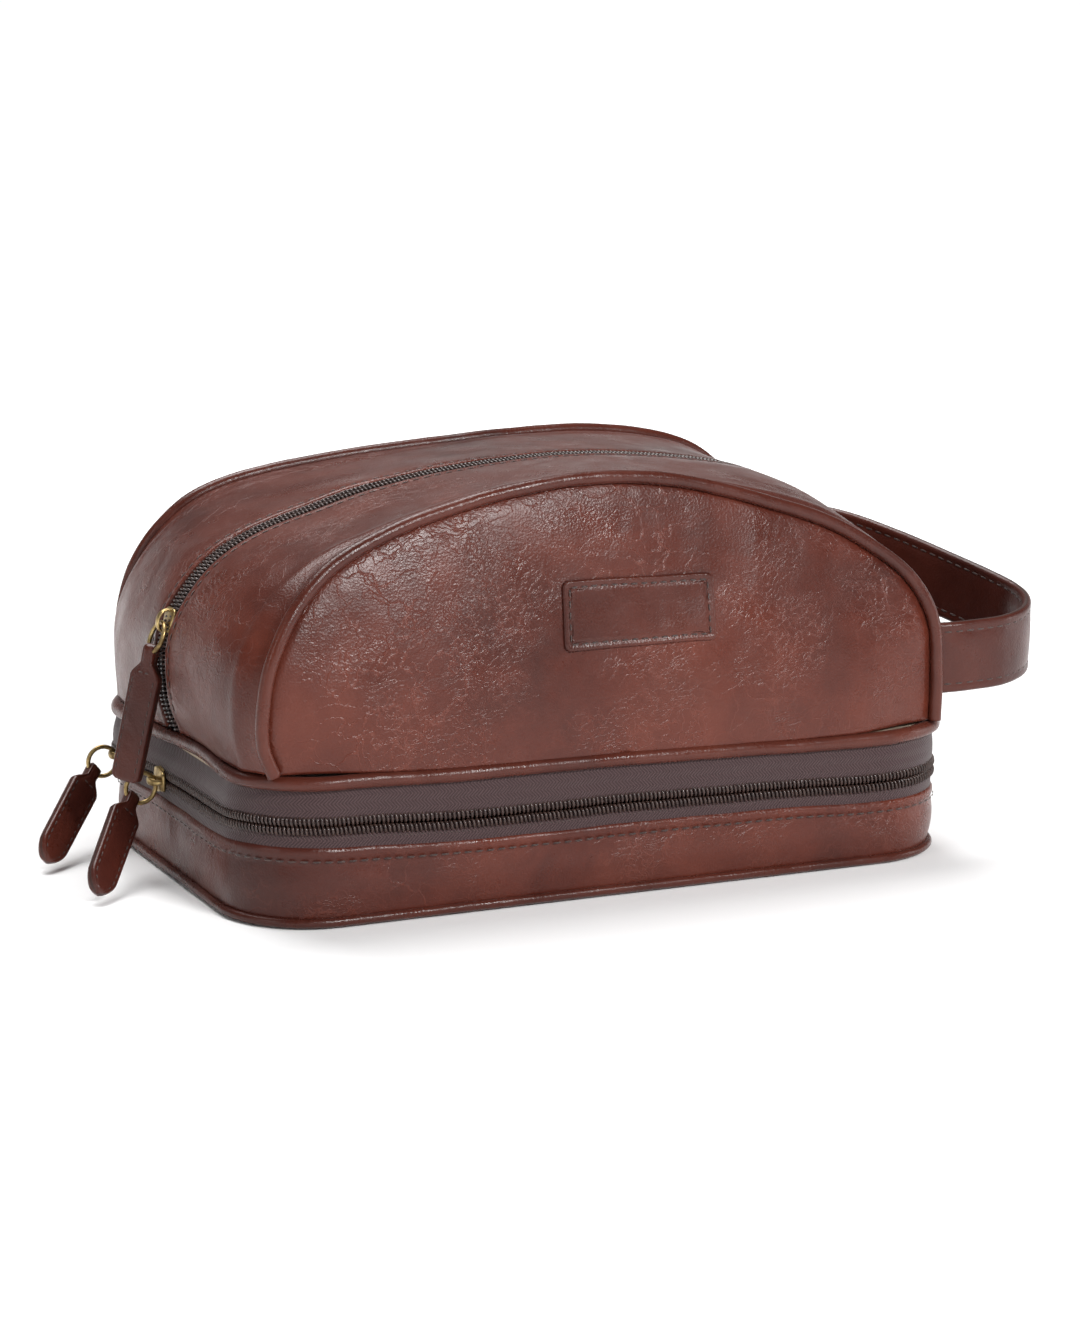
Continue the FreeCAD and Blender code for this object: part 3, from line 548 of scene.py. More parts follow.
def grow_tape(name, dark, light):
    """Woven zip tape in a fine herringbone that runs along the piece."""
    n = Nodes(name)
    axes = n.add("ShaderNodeSeparateXYZ")
    n.link(n.place.outputs["UV"], axes.inputs["Vector"])
    zigzag = n.math("PINGPONG", axes.outputs["Y"], HERRINGBONE_RUN)
    slope = n.math("ADD", axes.outputs["X"], zigzag)
    wave = n.math("SINE", n.math("MULTIPLY", slope, 2 * math.pi / HERRINGBONE_PITCH))
    rib = n.level(wave, -1.0, 1.0)
    fuzz = n.noise(1500, 3)
    colour = n.mix(n.math("MULTIPLY", rib, 0.7), dark, light)
    colour = n.mix(n.level(fuzz, 0.3, 0.8, 0.0, 0.4), colour, dark)
    n.link(colour, n.shader.inputs["Base Color"])
    n.set(Roughness=0.78, Sheen_Weight=0.25, Sheen_Roughness=0.5, Specular_IOR_Level=0.3)
    skin = n.bump(rib, 0.6, 0.00018)
    n.link(n.bump(fuzz, 0.2, 0.0001, skin), n.shader.inputs["Normal"])
    return n.material


def grow_plastic(name, dark, light, roughness):
    """Nylon monofilament: slightly cloudy, satin."""
    n = Nodes(name)
    n.link(n.ramp(n.noise(400, 3), [(0.3, dark), (0.7, light)]), n.shader.inputs["Base Color"])
    rough = n.level(n.noise(900, 2), 0.3, 0.7, roughness - 0.08, roughness + 0.08)
    n.link(rough, n.shader.inputs["Roughness"])
    n.link(n.bump(n.noise(2500, 2), 0.1, 0.00005), n.shader.inputs["Normal"])
    n.set(Specular_IOR_Level=0.5)
    return n.material


def grow_thread(name, dark, light):
    """Waxed sewing thread with a visible twist."""
    n = Nodes(name)
    twist = n.add("ShaderNodeTexWave", wave_type="BANDS", bands_direction="DIAGONAL")
    twist.inputs["Scale"].default_value = 420
    twist.inputs["Distortion"].default_value = 0.6
    n.link(n.place.outputs["Object"], twist.inputs["Vector"])
    n.link(n.mix(twist.outputs["Fac"], dark, light), n.shader.inputs["Base Color"])
    n.link(n.bump(twist.outputs["Fac"], 0.4, 0.0001), n.shader.inputs["Normal"])
    n.set(Roughness=0.6, Sheen_Weight=0.2)
    return n.material


def grow_brass(name):
    """Antique brass: rubbed yellow high spots over a brown patina."""
    n = Nodes(name)
    worn = n.noise(260, 5, 0.65)
    speck = n.noise(1400, 3)
    patina, rubbed, bright = (0.13, 0.085, 0.04), (0.36, 0.255, 0.11), (0.62, 0.47, 0.22)
    colour = n.ramp(worn, [(0.30, patina), (0.48, rubbed), (0.72, bright)])
    colour = n.mix(n.level(speck, 0.55, 0.75, 0.0, 0.5), colour, (0.10, 0.065, 0.035))
    n.link(colour, n.shader.inputs["Base Color"])
    n.link(n.level(worn, 0.3, 0.75, 0.5, 0.26), n.shader.inputs["Roughness"])
    n.link(n.bump(speck, 0.12, 0.00008), n.shader.inputs["Normal"])
    n.set(Metallic=1.0)
    return n.material


def grow_cloth(name, dark, light):
    """Plain woven lining."""
    n = Nodes(name)
    place = n.place.outputs["Object"]
    threads = []
    for direction in ("X", "Y", "Z"):
        wave = n.add("ShaderNodeTexWave", wave_type="BANDS", bands_direction=direction)
        wave.inputs["Scale"].default_value = 0.314 / WEAVE_PITCH
        wave.inputs["Distortion"].default_value = 0.4
        n.link(place, wave.inputs["Vector"])
        threads.append(wave.outputs["Fac"])
    weave = n.math("MAXIMUM", n.math("MULTIPLY", threads[0], threads[1]),
                   n.math("MULTIPLY", threads[1], threads[2]))
    colour = n.mix(weave, dark, light)
    colour = n.mix(n.level(n.noise(30, 4), 0.3, 0.8, 0.0, 0.4), colour, dark)
    n.link(colour, n.shader.inputs["Base Color"])
    n.set(Roughness=0.8, Sheen_Weight=0.3, Specular_IOR_Level=0.25)
    n.link(n.bump(weave, 0.35, 0.00015), n.shader.inputs["Normal"])
    return n.material


def grow_board(name):
    """Grey-brown stiffening board with pressed fibres."""
    n = Nodes(name)
    fibre = n.noise(350, 6, 0.7, stretch=(1, 4, 1))
    colour = n.ramp(fibre, [(0.3, (0.22, 0.17, 0.12)), (0.7, (0.42, 0.34, 0.25))])
    n.link(colour, n.shader.inputs["Base Color"])
    n.link(n.bump(fibre, 0.3, 0.0002), n.shader.inputs["Normal"])
    n.set(Roughness=0.85)
    return n.material


LEATHER = grow_leather("Leather", (0.038, 0.0078, 0.0048), (0.084, 0.0170, 0.0095), (0.128, 0.0290, 0.0160))
EDGE_LEATHER = grow_leather("EdgeLeather", (0.034, 0.0075, 0.0048), (0.070, 0.0152, 0.0090),
                            (0.110, 0.0270, 0.0160), crease=0.2, roughness=0.28)
STRAP_LEATHER = grow_leather("StrapLeather", (0.032, 0.0068, 0.0046), (0.060, 0.0130, 0.0080),
                             (0.092, 0.0220, 0.0135), crease=0.15, roughness=0.31)
CUT_EDGE = grow_leather("CutEdge", (0.020, 0.008, 0.006), (0.035, 0.013, 0.009), (0.055, 0.020, 0.014),
                        crease=0.0, roughness=0.5, sheen=0.1)
TAPE = grow_tape("ZipTape", (0.026, 0.011, 0.012), (0.085, 0.046, 0.047))
COIL = grow_plastic("ZipCoil", (0.022, 0.010, 0.008), (0.050, 0.026, 0.020), 0.3)
THREAD = grow_thread("Thread", (0.018, 0.008, 0.006), (0.050, 0.020, 0.014))
BRASS = grow_brass("AntiqueBrass")
LINING = grow_cloth("Lining", (0.075, 0.045, 0.030), (0.16, 0.105, 0.07))
BOARD = grow_board("Board")


def dress(obj, material, slot, *also):
    obj.data.materials.clear()
    for each in (material,) + also:
        obj.data.materials.append(each)
    return obj


# ---- bands round the plan ------------------------------------------------------------------

def band_grid(profile, count, start=0.0, end=1.0, ripple=None):
    """Rows round the plan; profile is (inset, height) pairs in metres."""
    at, out, travel = plan(count, start, end)
    inset = np.array([p[0] for p in profile])
    height = np.array([p[1] for p in profile])
    grid = np.empty((count, len(profile), 3))
    depth = np.broadcast_to(inset, grid.shape[:2]).copy()
    if ripple is not None:
        depth -= ripple(travel[:, None], height[None, :])
    grid[..., :2] = at[:, None] - out[:, None] * depth[..., None]
    grid[..., 2] = height
    return grid


def band(name, profile, body, nodes, material, slot, start=0.0, end=1.0, ripple=None):
    """A closed-section band right round the plan, or between two shares of the way round."""
    whole = start == 0.0 and end == 1.0
    grid = slump(band_grid(profile, 420, start, end, ripple))
    if whole:
        grid[-1] = grid[0]
    obj = loft(name, grid, closed_ring=True, caps=not whole)
    dress(obj, material, slot)
    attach(obj, body)
    if nodes:
        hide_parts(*nodes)
    return obj


def round_section(inset, height, radius_in, radius_up):
    angles = np.linspace(0, 2 * math.pi, 16, endpoint=False)
    return [(inset - radius_in * math.cos(a), height + radius_up * math.sin(a)) for a in angles]


def plan_line(inset, height, count=800, start=0.0, end=1.0):
    at, out, _ = plan(count, start, end)
    line = np.column_stack([at - out * inset, np.full(count, height)])
    return slump(line), np.column_stack([out, np.zeros(count)])


def tray():
    """Bottom panel, foot piping, wall with its folded top edge, and the lining."""
    inset = 2.8 * MM
    thick = 1.8 * MM

    def ripple(travel, height):
        belly = 1.0 * MM * np.sin(math.pi * np.clip((height - 3 * MM) / (WALL_TOP - 3 * MM), 0, 1))
        return belly + 0 * travel

    out_side = [(inset, z * MM) for z in (2.6, 3.4, 5, 7, 9, 11, 13, 15, 17, 19, 20.4)]
    fold = [(inset - 0.5 * MM, 21.2 * MM), (inset - 0.65 * MM, 22.2 * MM), (inset - 0.6 * MM, 23.3 * MM),
            (inset - 0.1 * MM, 24.2 * MM), (inset + 0.8 * MM, 24.6 * MM), (inset + 1.8 * MM, 24.3 * MM),
            (inset + 2.3 * MM, 23.2 * MM), (inset + 2.2 * MM, 21.4 * MM)]
    in_side = [(inset + thick, z * MM) for z in (20, 16, 12, 8, 5, 3)]
    band("TrayWall", out_side + fold + in_side, "tray", ("tray_wall", "tray_edge_binding"), LEATHER,
         "leather_brown", ripple=ripple)
    line, out = plan_line(inset - 0.95 * MM, 20.6 * MM)
    rows = [stitch_row(line, out, 2.7 * MM, 1.3 * MM, 0.3 * MM)]
    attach(dress(stitches("TrayEdgeStitches", rows), THREAD, "leather_brown"), "tray")

    foot = round_section(2.2 * MM, 2.1 * MM, 1.5 * MM, 1.55 * MM)
    band("FootPiping", foot, "tray", ("tray_bottom_piping",), EDGE_LEATHER, "leather_brown")

    profile = [(3.2 * MM, 2.2 * MM), (3.0 * MM, 0.9 * MM), (4.0 * MM, 0.15 * MM), (8 * MM, 0.02 * MM),
               (20 * MM, 0.0), (30 * MM, 0.0)]
    cap("TrayBottom", profile, "tray", ("tray_bottom_panel",), LEATHER, "leather_brown", below=True)
    lining = [(5.0 * MM, 21 * MM), (5.2 * MM, 16 * MM), (5.4 * MM, 10 * MM), (6.2 * MM, 5.6 * MM),
              (9 * MM, 4.8 * MM), (20 * MM, 4.5 * MM), (30 * MM, 4.5 * MM)]
    cap("TrayLining", lining, "tray", ("tray_lining",), LINING, "lining")


def cap(name, profile, body, nodes, material, slot, below=False, thick=0.7 * MM):
    """A dished sheet that fills the plan: rings of the profile, then a middle filled with rows."""
    count = 240
    rings = band_grid(profile, count)[:-1]
    rows = count - 1
    steps = 14
    inner = rings[:, -1]
    share = (np.arange(steps) + 1) / steps
    spine = np.column_stack([np.clip(inner[:, 0], -0.075, 0.075), np.zeros(rows), inner[:, 2]])
    middle = inner[:, None] * (1 - share[None, :, None]) + spine[:, None] * share[None, :, None]
    grid = np.concatenate([rings, middle], axis=1)
    grid = grid + bumps(grid, 0.03, 0.3 * MM) * np.array([0, 0, 0.0 if below else 1.0])
    if not below:
        grid = slump(grid)
    obj = loft(name, grid, closed_run=True, flip=not below)
    bpy.context.view_layer.update()
    solid = obj.modifiers.new("Thickness", "SOLIDIFY")
    solid.thickness = thick
    solid.offset = -1
    weld = obj.modifiers.new("Weld", "WELD")
    weld.merge_threshold = 0.00002
    dress(obj, material, slot)
    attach(obj, body)
    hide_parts(*nodes)
    return obj


def low_zip():
    """Tapes and coils of the zip between tray and dome."""
    start, end = BACK_STOP, 1 - BACK_STOP
    tape_in = LOW_ZIP_INSET
    half = 0.4 * MM
    row = 1.1 * MM
    gap = 0.6 * MM
    centre_up = LOW_ZIP_Z + gap + row
    centre_down = LOW_ZIP_Z - gap - row

    def tape_profile(z_near, z_far, bulge):
        heights = np.linspace(z_near, z_far, 9)
        out = [(tape_in - half - bulge * math.sin(math.pi * k / 8), z) for k, z in enumerate(heights)]
        back = [(tape_in + half - bulge * math.sin(math.pi * k / 8), z) for k, z in enumerate(heights)]
        return out + back[::-1]

    low_tape = tape_profile(22.6 * MM, LOW_ZIP_Z - 0.9 * MM, 0.1 * MM)
    band("TrayZipTape", low_tape, "tray", ("tray_zip_tape",), TAPE, "zip_tape", start=start, end=end)
    high_tape = tape_profile(LOW_ZIP_Z + 0.9 * MM, BOARD_LOW + 1.4 * MM, 0.5 * MM)
    band("UpperZipTape", high_tape, "main_compartment", ("upper_zip_tape",), TAPE, "zip_tape",
         start=start, end=end)
    halves = (("TrayCoil", "tray_zip_coil", "tray", centre_down, 0.0),
              ("UpperCoil", "upper_zip_coil", "main_compartment", centre_up, math.pi))
    for name, node, body, height, phase in halves:
        line, out = plan_line(tape_in - 0.25 * MM, height, 900, start, end)
        up = np.broadcast_to([0, 0, 1.0], line.shape)
        coil = loft(name, wound(line, out, up, row + 0.25 * MM, phase),
                    closed_ring=True, caps=True)
        dress(coil, COIL, "zip_coil")
        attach(coil, body)
        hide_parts(node)
    for name, body, height in (("TrayTapeStitches", "tray", centre_down - 2.3 * MM),
                               ("UpperTapeStitches", "main_compartment", centre_up + 2.3 * MM)):
        line, out = plan_line(tape_in - 0.5 * MM, height, 900, start, end)
        rows = [stitch_row(line, out, 1.5 * MM, 0.5 * MM, 0.16 * MM)]
        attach(dress(stitches(name, rows), THREAD, "zip_tape"), body)


def base_piping():
    """The thick round piping where the dome meets its floor."""
    section = round_section(PIPING_R, PIPING_Z, PIPING_R * 0.98, PIPING_R * 0.98)
    band("BasePiping", section, "main_compartment", ("base_piping",), EDGE_LEATHER, "leather_brown")


def divider():
    """The floor of the main compartment, seen from both sides."""
    under = [(4.6 * MM, BOARD_LOW - 0.2 * MM), (8 * MM, BOARD_LOW - 0.5 * MM),
             (20 * MM, BOARD_LOW - 0.6 * MM), (30 * MM, BOARD_LOW - 0.6 * MM)]
    floor = [(5.2 * MM, BOARD_LOW + 3.2 * MM), (8 * MM, BOARD_LOW + 2.9 * MM),
             (20 * MM, BOARD_LOW + 2.8 * MM), (30 * MM, BOARD_LOW + 2.8 * MM)]
    for name, profile, node in (("DividerUnderside", under, "divider_underside_lining"),
                                ("FloorLining", floor, "floor_lining")):
        cap(name, profile, "main_compartment", (node,), LINING, "lining", thick=0.3 * MM)


def hinge_strip():
    """The strip of leather behind the tray that folds on the real bag when it opens; here it is one still
    piece.
    """
    count = 60
    x = np.linspace(-ZIP_BACK_END - 4 * MM, ZIP_BACK_END + 4 * MM, count)
    heights = np.linspace(22.4 * MM, 46 * MM, 16)
    y_out = HALF_WIDTH - 2.6 * MM
    grid = np.empty((count, 32, 3))
    bulge = 0.8 * MM * np.sin(np.linspace(0, math.pi, 16))
    grid[:, :16, 0] = x[:, None]
    grid[:, 16:, 0] = x[:, None]
    grid[:, :16, 1] = y_out + bulge
    grid[:, 16:, 1] = (y_out + bulge - 1.5 * MM)[::-1]
    grid[:, :16, 2] = heights
    grid[:, 16:, 2] = heights[::-1]
    obj = loft("HingeStrip", slump(grid), closed_ring=True, caps=True, flip=True)
    dress(obj, LEATHER, "leather_brown")
    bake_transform(obj)
    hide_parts("hinge_leather_lower", "hinge_leather_upper")


# ---- the dome ------------------------------------------------------------------------------

HALF_NAME = {FRONT: "front", BACK: "back"}


def joins_half(obj, nodes=()):
    """Bakes the piece's placement into its mesh and hides the frame nodes it stands for; the piece is not
    attached to a half, so it stays still when the bag opens.
    """
    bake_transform(obj)
    if nodes:
        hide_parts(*nodes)
    return obj


def gusset(side):
    """The leather between the zip and the edge piping, folded under beside the zip."""
    label = HALF_NAME[side]
    near = np.array([5.6, 4.9, 4.65, 4.7, 5.0, 5.6, 6.4, 7.4, 8.2, 9.2, 10.6, 12.5]) * MM
    near_lift = np.array([-2.2, -1.9, -1.3, -0.6, -0.1, 0.12, 0.12, -0.1, -0.22, -0.05, 0.0, 0.0]) * MM
    share_near = reach_of(side, near)
    rest = np.linspace(0, 1, 36)[1:]
    last = share_near[:, -1:]
    share_rest = last + (0.985 - last) * rest[None, :]
    share = np.hstack([share_near, share_rest])
    ridge = hump(share_rest, 0.83, 0.035) * 0.55 * MM
    hollow = -hump(share_rest, 0.93, 0.05) * 0.35 * MM
    lift = np.hstack([np.broadcast_to(near_lift, share_near.shape), ridge + hollow])
    outer = slump(dome_at(side, share, lift))
    inner = slump(dome_at(side, np.clip(share, 0, 1), np.minimum(lift, 0) - 1.7 * MM))
    grid = np.concatenate([outer, inner[:, ::-1]], axis=1)
    obj = loft("Gusset_" + label, grid, closed_ring=True, caps=True, flip=side == BACK)
    dress(obj, LEATHER, "leather_brown")
    joins_half(obj, (label + "_gusset",))

    seam = reach_of(side, np.array([7.8 * MM]))
    line = slump(dome_at(side, seam, -0.05 * MM))[:, 0]
    normals = dome_normals(side, seam)[:, 0]
    rows = stitch_row(line[6:-6], normals[6:-6], 2.7 * MM, 1.3 * MM, 0.32 * MM)
    joins_half(dress(stitches("GussetStitches_" + label, [rows]), THREAD, "leather_brown"))


def top_zip(side):
    """One side of the main zip: tape under the folded leather and the wound coil."""
    label = HALF_NAME[side]
    distance = np.linspace(1.0, 10.0, 10) * MM
    share = reach_of(side, distance)
    drop = np.broadcast_to(-1.5 * MM, share.shape)
    outer = slump(dome_at(side, share, drop))
    inner = slump(dome_at(side, share, drop - 0.7 * MM))
    grid = np.concatenate([outer, inner[:, ::-1]], axis=1)
    obj = loft("TopTape_" + label, grid, closed_ring=True, caps=True, flip=side == BACK)
    joins_half(dress(obj, TAPE, "zip_tape"), ("main_zip_tape_" + label,))

    middle = reach_of(side, np.array([1.7 * MM]))
    line = slump(dome_at(side, middle, -1.1 * MM))[:, 0]
    up = dome_normals(side, middle)[:, 0]
    across = np.broadcast_to([0, 1.0, 0], line.shape)
    grid = wound(line, up, across, 1.45 * MM, 0.0 if side == FRONT else math.pi)
    coil = loft("TopCoil_" + label, grid, closed_ring=True, caps=True)
    joins_half(dress(coil, COIL, "zip_coil"), ("main_zip_coil_" + label,))

    seam = reach_of(side, np.array([3.9 * MM]))
    line = slump(dome_at(side, seam, -1.4 * MM))[:, 0]
    rows = stitch_row(line, dome_normals(side, seam)[:, 0], 1.5 * MM, 0.5 * MM, 0.16 * MM)
    joins_half(dress(stitches("TopTapeStitches_" + label, [rows]), THREAD, "zip_tape"))


def edge_piping(side):
    """The round piping along the arch, its feet tucked into the base piping."""
    label = HALF_NAME[side]
    line = slump(edge_line[side])
    line = line + np.array([0, side * 0.4 * MM, 0])
    foot = line[:1] + (line[:1] - line[3:4]) * 0.05
    end = line[-1:] + (line[-1:] - line[-4:-3]) * 0.05
    line = resample(np.vstack([foot, line, end]), 360)
    radius = 2.25 * MM * (1 + 0.05 * np.array([noise.noise(Vector(p) * 90) for p in line]))
    obj = loft("ArchPiping_" + label, tube(line, radius, 16, up=(0, 1, 0)), closed_ring=True, caps=True)
    joins_half(dress(obj, EDGE_LEATHER, "leather_brown"), (label + "_piping",))


def panel_grid(side, rings=34, sink=0.0):
    """The face under the arch: rings that shrink towards the middle of its foot."""
    edge = edge_line[side]
    share = np.linspace(0.99, 0.0, rings)
    grid = np.empty((ROWS, rings, 3))
    foot_z = DOME_FOOT - 1.0 * MM
    grid[..., 0] = edge[:, None, 0] * share
    grid[..., 2] = foot_z + (edge[:, None, 2] - foot_z) * share
    wrap = (HALF_WIDTH - FACE_INSET - (edge[:, 2] - DOME_FOOT) * LEAN) - np.abs(edge[:, 1])
    lean = HALF_WIDTH - FACE_INSET - (grid[..., 2] - DOME_FOOT) * LEAN
    lean = lean - wrap[:, None] * smoothstep(0.72, 1.0, share)
    up = np.clip((grid[..., 2] - foot_z) / 0.03, 0, 1)
    crown = 3.0 * MM * (1 - share ** 5) * np.sin(up * math.pi / 2)
    seam = -0.9 * MM * hump(share, 1.0, 0.03)
    grid[..., 1] = side * (lean + crown + seam - sink)
    return grid


def panel(side):
    """The crowned leather face, thick enough to stand for its board too."""
    label = HALF_NAME[side]
    outer = slump(panel_grid(side))
    inner = slump(panel_grid(side, sink=2.8 * MM))
    grid = np.concatenate([outer, inner[:, ::-1]], axis=1)
    obj = loft("Panel_" + label, grid, closed_ring=True, caps=True, flip=side == FRONT)
    dress(obj, LEATHER, "leather_brown")
    joins_half(obj, (label + "_panel", label + "_panel_board"))


def dome_lining(side):
    """Lining cloth: the inside of the gusset and of the face, a little loose."""
    label = HALF_NAME[side]
    share = np.linspace(0.17, 0.955, 20)[None, :] * np.ones((ROWS, 1))
    wall = slump(dome_at(side, share, -3.4 * MM))
    face = slump(panel_grid(side, 24, sink=4.6 * MM))[:, 1:]
    grid = np.concatenate([wall, face], axis=1)
    grid = grid + bumps(grid, 0.025, 0.35 * MM)
    obj = loft("DomeLining_" + label, grid, flip=side == FRONT)
    solid = obj.modifiers.new("Thickness", "SOLIDIFY")
    solid.thickness = 0.5 * MM
    solid.offset = 1
    joins_half(dress(obj, LINING, "lining"), (label + "_lining",))


# ---- label patch ---------------------------------------------------------------------------

def patch_surface(u, v, lift):
    """A point of the front face around the patch: u along, v up its slope from its middle."""
    low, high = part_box("label_patch")
    centre = (low + high) / 2
    x = centre.x + u
    z = centre.z + v * math.cos(LEAN_ANGLE)
    y = -(HALF_WIDTH - FACE_INSET - (z - DOME_FOOT) * LEAN) - 3.0 * MM
    tilt = Vector((0, -math.cos(LEAN_ANGLE), math.sin(LEAN_ANGLE)))
    return Vector((x, y, z)) + tilt * lift


def patch():
    """A plain stitched leather patch with a raised rim, lying on the front face."""
    half_u, half_v, corner = 27.6 * MM, 11.4 * MM, 2.2 * MM
    steps = 160
    loop = []
    for k in range(4):
        cx = (half_u - corner) * (1 if k in (0, 3) else -1)
        cy = (half_v - corner) * (1 if k in (0, 1) else -1)
        for t in np.linspace(0, 90, 12):
            a = math.radians(90 * k + t)
            loop.append((cx + corner * math.cos(a), cy + corner * math.sin(a)))
    loop = resample(np.array(loop), steps, closed=True)
    outward = unit(np.column_stack([np.roll(loop, -1, 0)[:, 1] - np.roll(loop, 1, 0)[:, 1],
                                    np.roll(loop, 1, 0)[:, 0] - np.roll(loop, -1, 0)[:, 0]]))
    sections = [(0.1, -0.8), (0.15, 0.3), (-0.1, 0.9), (-0.6, 1.15), (-1.2, 1.1), (-1.9, 0.75),
                (-2.5, 0.75), (-3.2, 1.0), (-4.0, 1.0), (-6.0, 0.98), (-8.0, 0.95), (-9.8, 0.95)]
    grid = np.empty((steps, len(sections) + 1, 3))
    for k, (inset, lift) in enumerate(sections):
        for i in range(steps):
            p = loop[i] + outward[i] * inset * MM
            grid[i, k] = patch_surface(p[0], p[1], lift * MM)
    for i in range(steps):
        spine = max(-(half_u - half_v), min(half_u - half_v, loop[i][0]))
        grid[i, -1] = patch_surface(spine, 0, 0.95 * MM)
    grid = slump(grid)
    obj = loft("LabelPatch", grid, closed_run=True, flip=True)
    dress(obj, EDGE_LEATHER, "leather_brown")
    joins_half(obj, ("label_patch",))
    line = np.array([patch_surface(*(loop[i] - outward[i] * 2.2 * MM), 0.9 * MM) for i in range(steps)])
    normal = np.broadcast_to([0, -0.98, 0.18], line.shape)
    rows = stitch_row(slump(line), normal, 2.4 * MM, 1.2 * MM, 0.3 * MM, closed=True)
    joins_half(dress(stitches("PatchStitches", [rows]), THREAD, "leather_brown"))


# ---- carry strap ---------------------------------------------------------------------------

STRAP_COURSE = [(110, -58, 68.5), (118, -65, 68.7), (127, -69.5, 69), (138, -71, 69.4), (152, -69.5, 69.8),
                (165, -62, 70.8), (174, -50, 72), (177.5, -36, 73.8), (175, -18, 77), (169, 2, 81),
                (161, 22, 85.5), (152, 40, 89.3), (142, 54, 91), (132, 63, 91), (122, 68, 90), (111, 66, 89)]
# Half of one face of the strap's section in mm, from its edge to its middle, grooved along the seam.
STRAP_FACE = [(12.4, 0.5), (11.9, 1.25), (11.2, 1.5), (10.0, 1.45), (9.2, 1.2), (8.4, 1.4), (5, 1.55)]
STRAP_SECTION = ([(-12.4, 0.5), (-12.5, 0.0)] + [(-a, -b) for a, b in STRAP_FACE] + [(0, -1.6)]
                 + [(a, -b) for a, b in STRAP_FACE[::-1]] + [(12.5, 0.0)] + STRAP_FACE + [(0, 1.6)]
                 + [(-a, b) for a, b in STRAP_FACE[:0:-1]])
STRAP_HALF_TURN = 16


def strap():
    """Two layers of leather sewn along both edges, looping from the front seam to the back one."""
    line = smooth_line([np.array(p) * MM for p in STRAP_COURSE], 260)
    tangent = unit(np.gradient(line, axis=0))
    up = np.array([0, 0, 1.0])
    out = unit(np.cross(tangent, up))
    width_way = unit(np.cross(out, tangent))
    travel = np.linspace(0, length_of(line), len(line))
    puff = 1 + 0.08 * np.sin(travel / 0.031) * np.sin(travel / 0.047)
    section = np.array(STRAP_SECTION) * MM
    grid = (line[:, None] + width_way[:, None] * section[None, :, :1]
            + out[:, None] * (section[None, :, 1:] * puff[:, None, None]))
    wave = np.array([noise.noise(Vector((s * 38, 0, 0))) for s in travel]) * 0.5 * MM
    grid = grid + out[:, None] * wave[:, None, None]
    obj = loft("Strap", grid, closed_ring=True, caps=True, flip=True)
    parts = np.zeros(len(obj.data.polygons), np.int32)
    columns = len(STRAP_SECTION)
    edge = {0, 1, STRAP_HALF_TURN, STRAP_HALF_TURN + 1}
    for k in range((len(line) - 1) * columns):
        if k % columns in edge:
            parts[k] = 1
    dress(obj, STRAP_LEATHER, "leather_brown", CUT_EDGE)
    obj.data.polygons.foreach_set("material_index", parts)
    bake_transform(obj)
    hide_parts("handle_outer_leather", "handle_inner_leather", "handle_end_front", "handle_end_back")
    rows = []
    for across in (-9.2, 9.2):
        for face in (-1, 1):
            seam = line + width_way * (across * MM) + out * (face * 1.3 * MM) + out * wave[:, None]
            rows.append(stitch_row(seam[14:-14], (out * face)[14:-14], 3.0 * MM, 1.2 * MM, 0.34 * MM))
    thread = dress(stitches("StrapStitches", rows), THREAD, "leather_brown")
    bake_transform(thread)


# ---- sliders, rings and pulls --------------------------------------------------------------

def slanted(angle, swing):
    """A direction that leaves the vertical by angle towards -X, then swings towards -Y."""
    lean, turn = math.radians(angle), math.radians(swing)
    return Vector((-math.sin(lean) * math.cos(turn), -math.sin(turn), -math.cos(lean) * math.cos(turn)))


def matrix_of(at, x_axis, y_axis, z_axis):
    rows = Matrix((x_axis, y_axis, z_axis)).transposed().to_4x4()
    rows.translation = at
    return rows


def place_mesh(obj, matrix):
    obj.data.transform(matrix)
    obj.data.update()
    return obj


def slider_plate(outline, low, high, bevel):
    """A plate with rounded edges between two heights, its outline in the slider's own plane."""
    outline = np.asarray(outline)
    centre = outline.mean(axis=0)
    levels = [(low, bevel), (low + bevel * 0.3, bevel * 0.3), (low + bevel, 0), (high - bevel, 0),
              (high - bevel * 0.3, bevel * 0.3), (high, bevel)]
    rings = []
    for x, inset in levels:
        shrink = outline - unit(outline - centre) * inset
        rings.append(np.column_stack([np.full(len(outline), x), shrink]))
    return np.stack(rings)


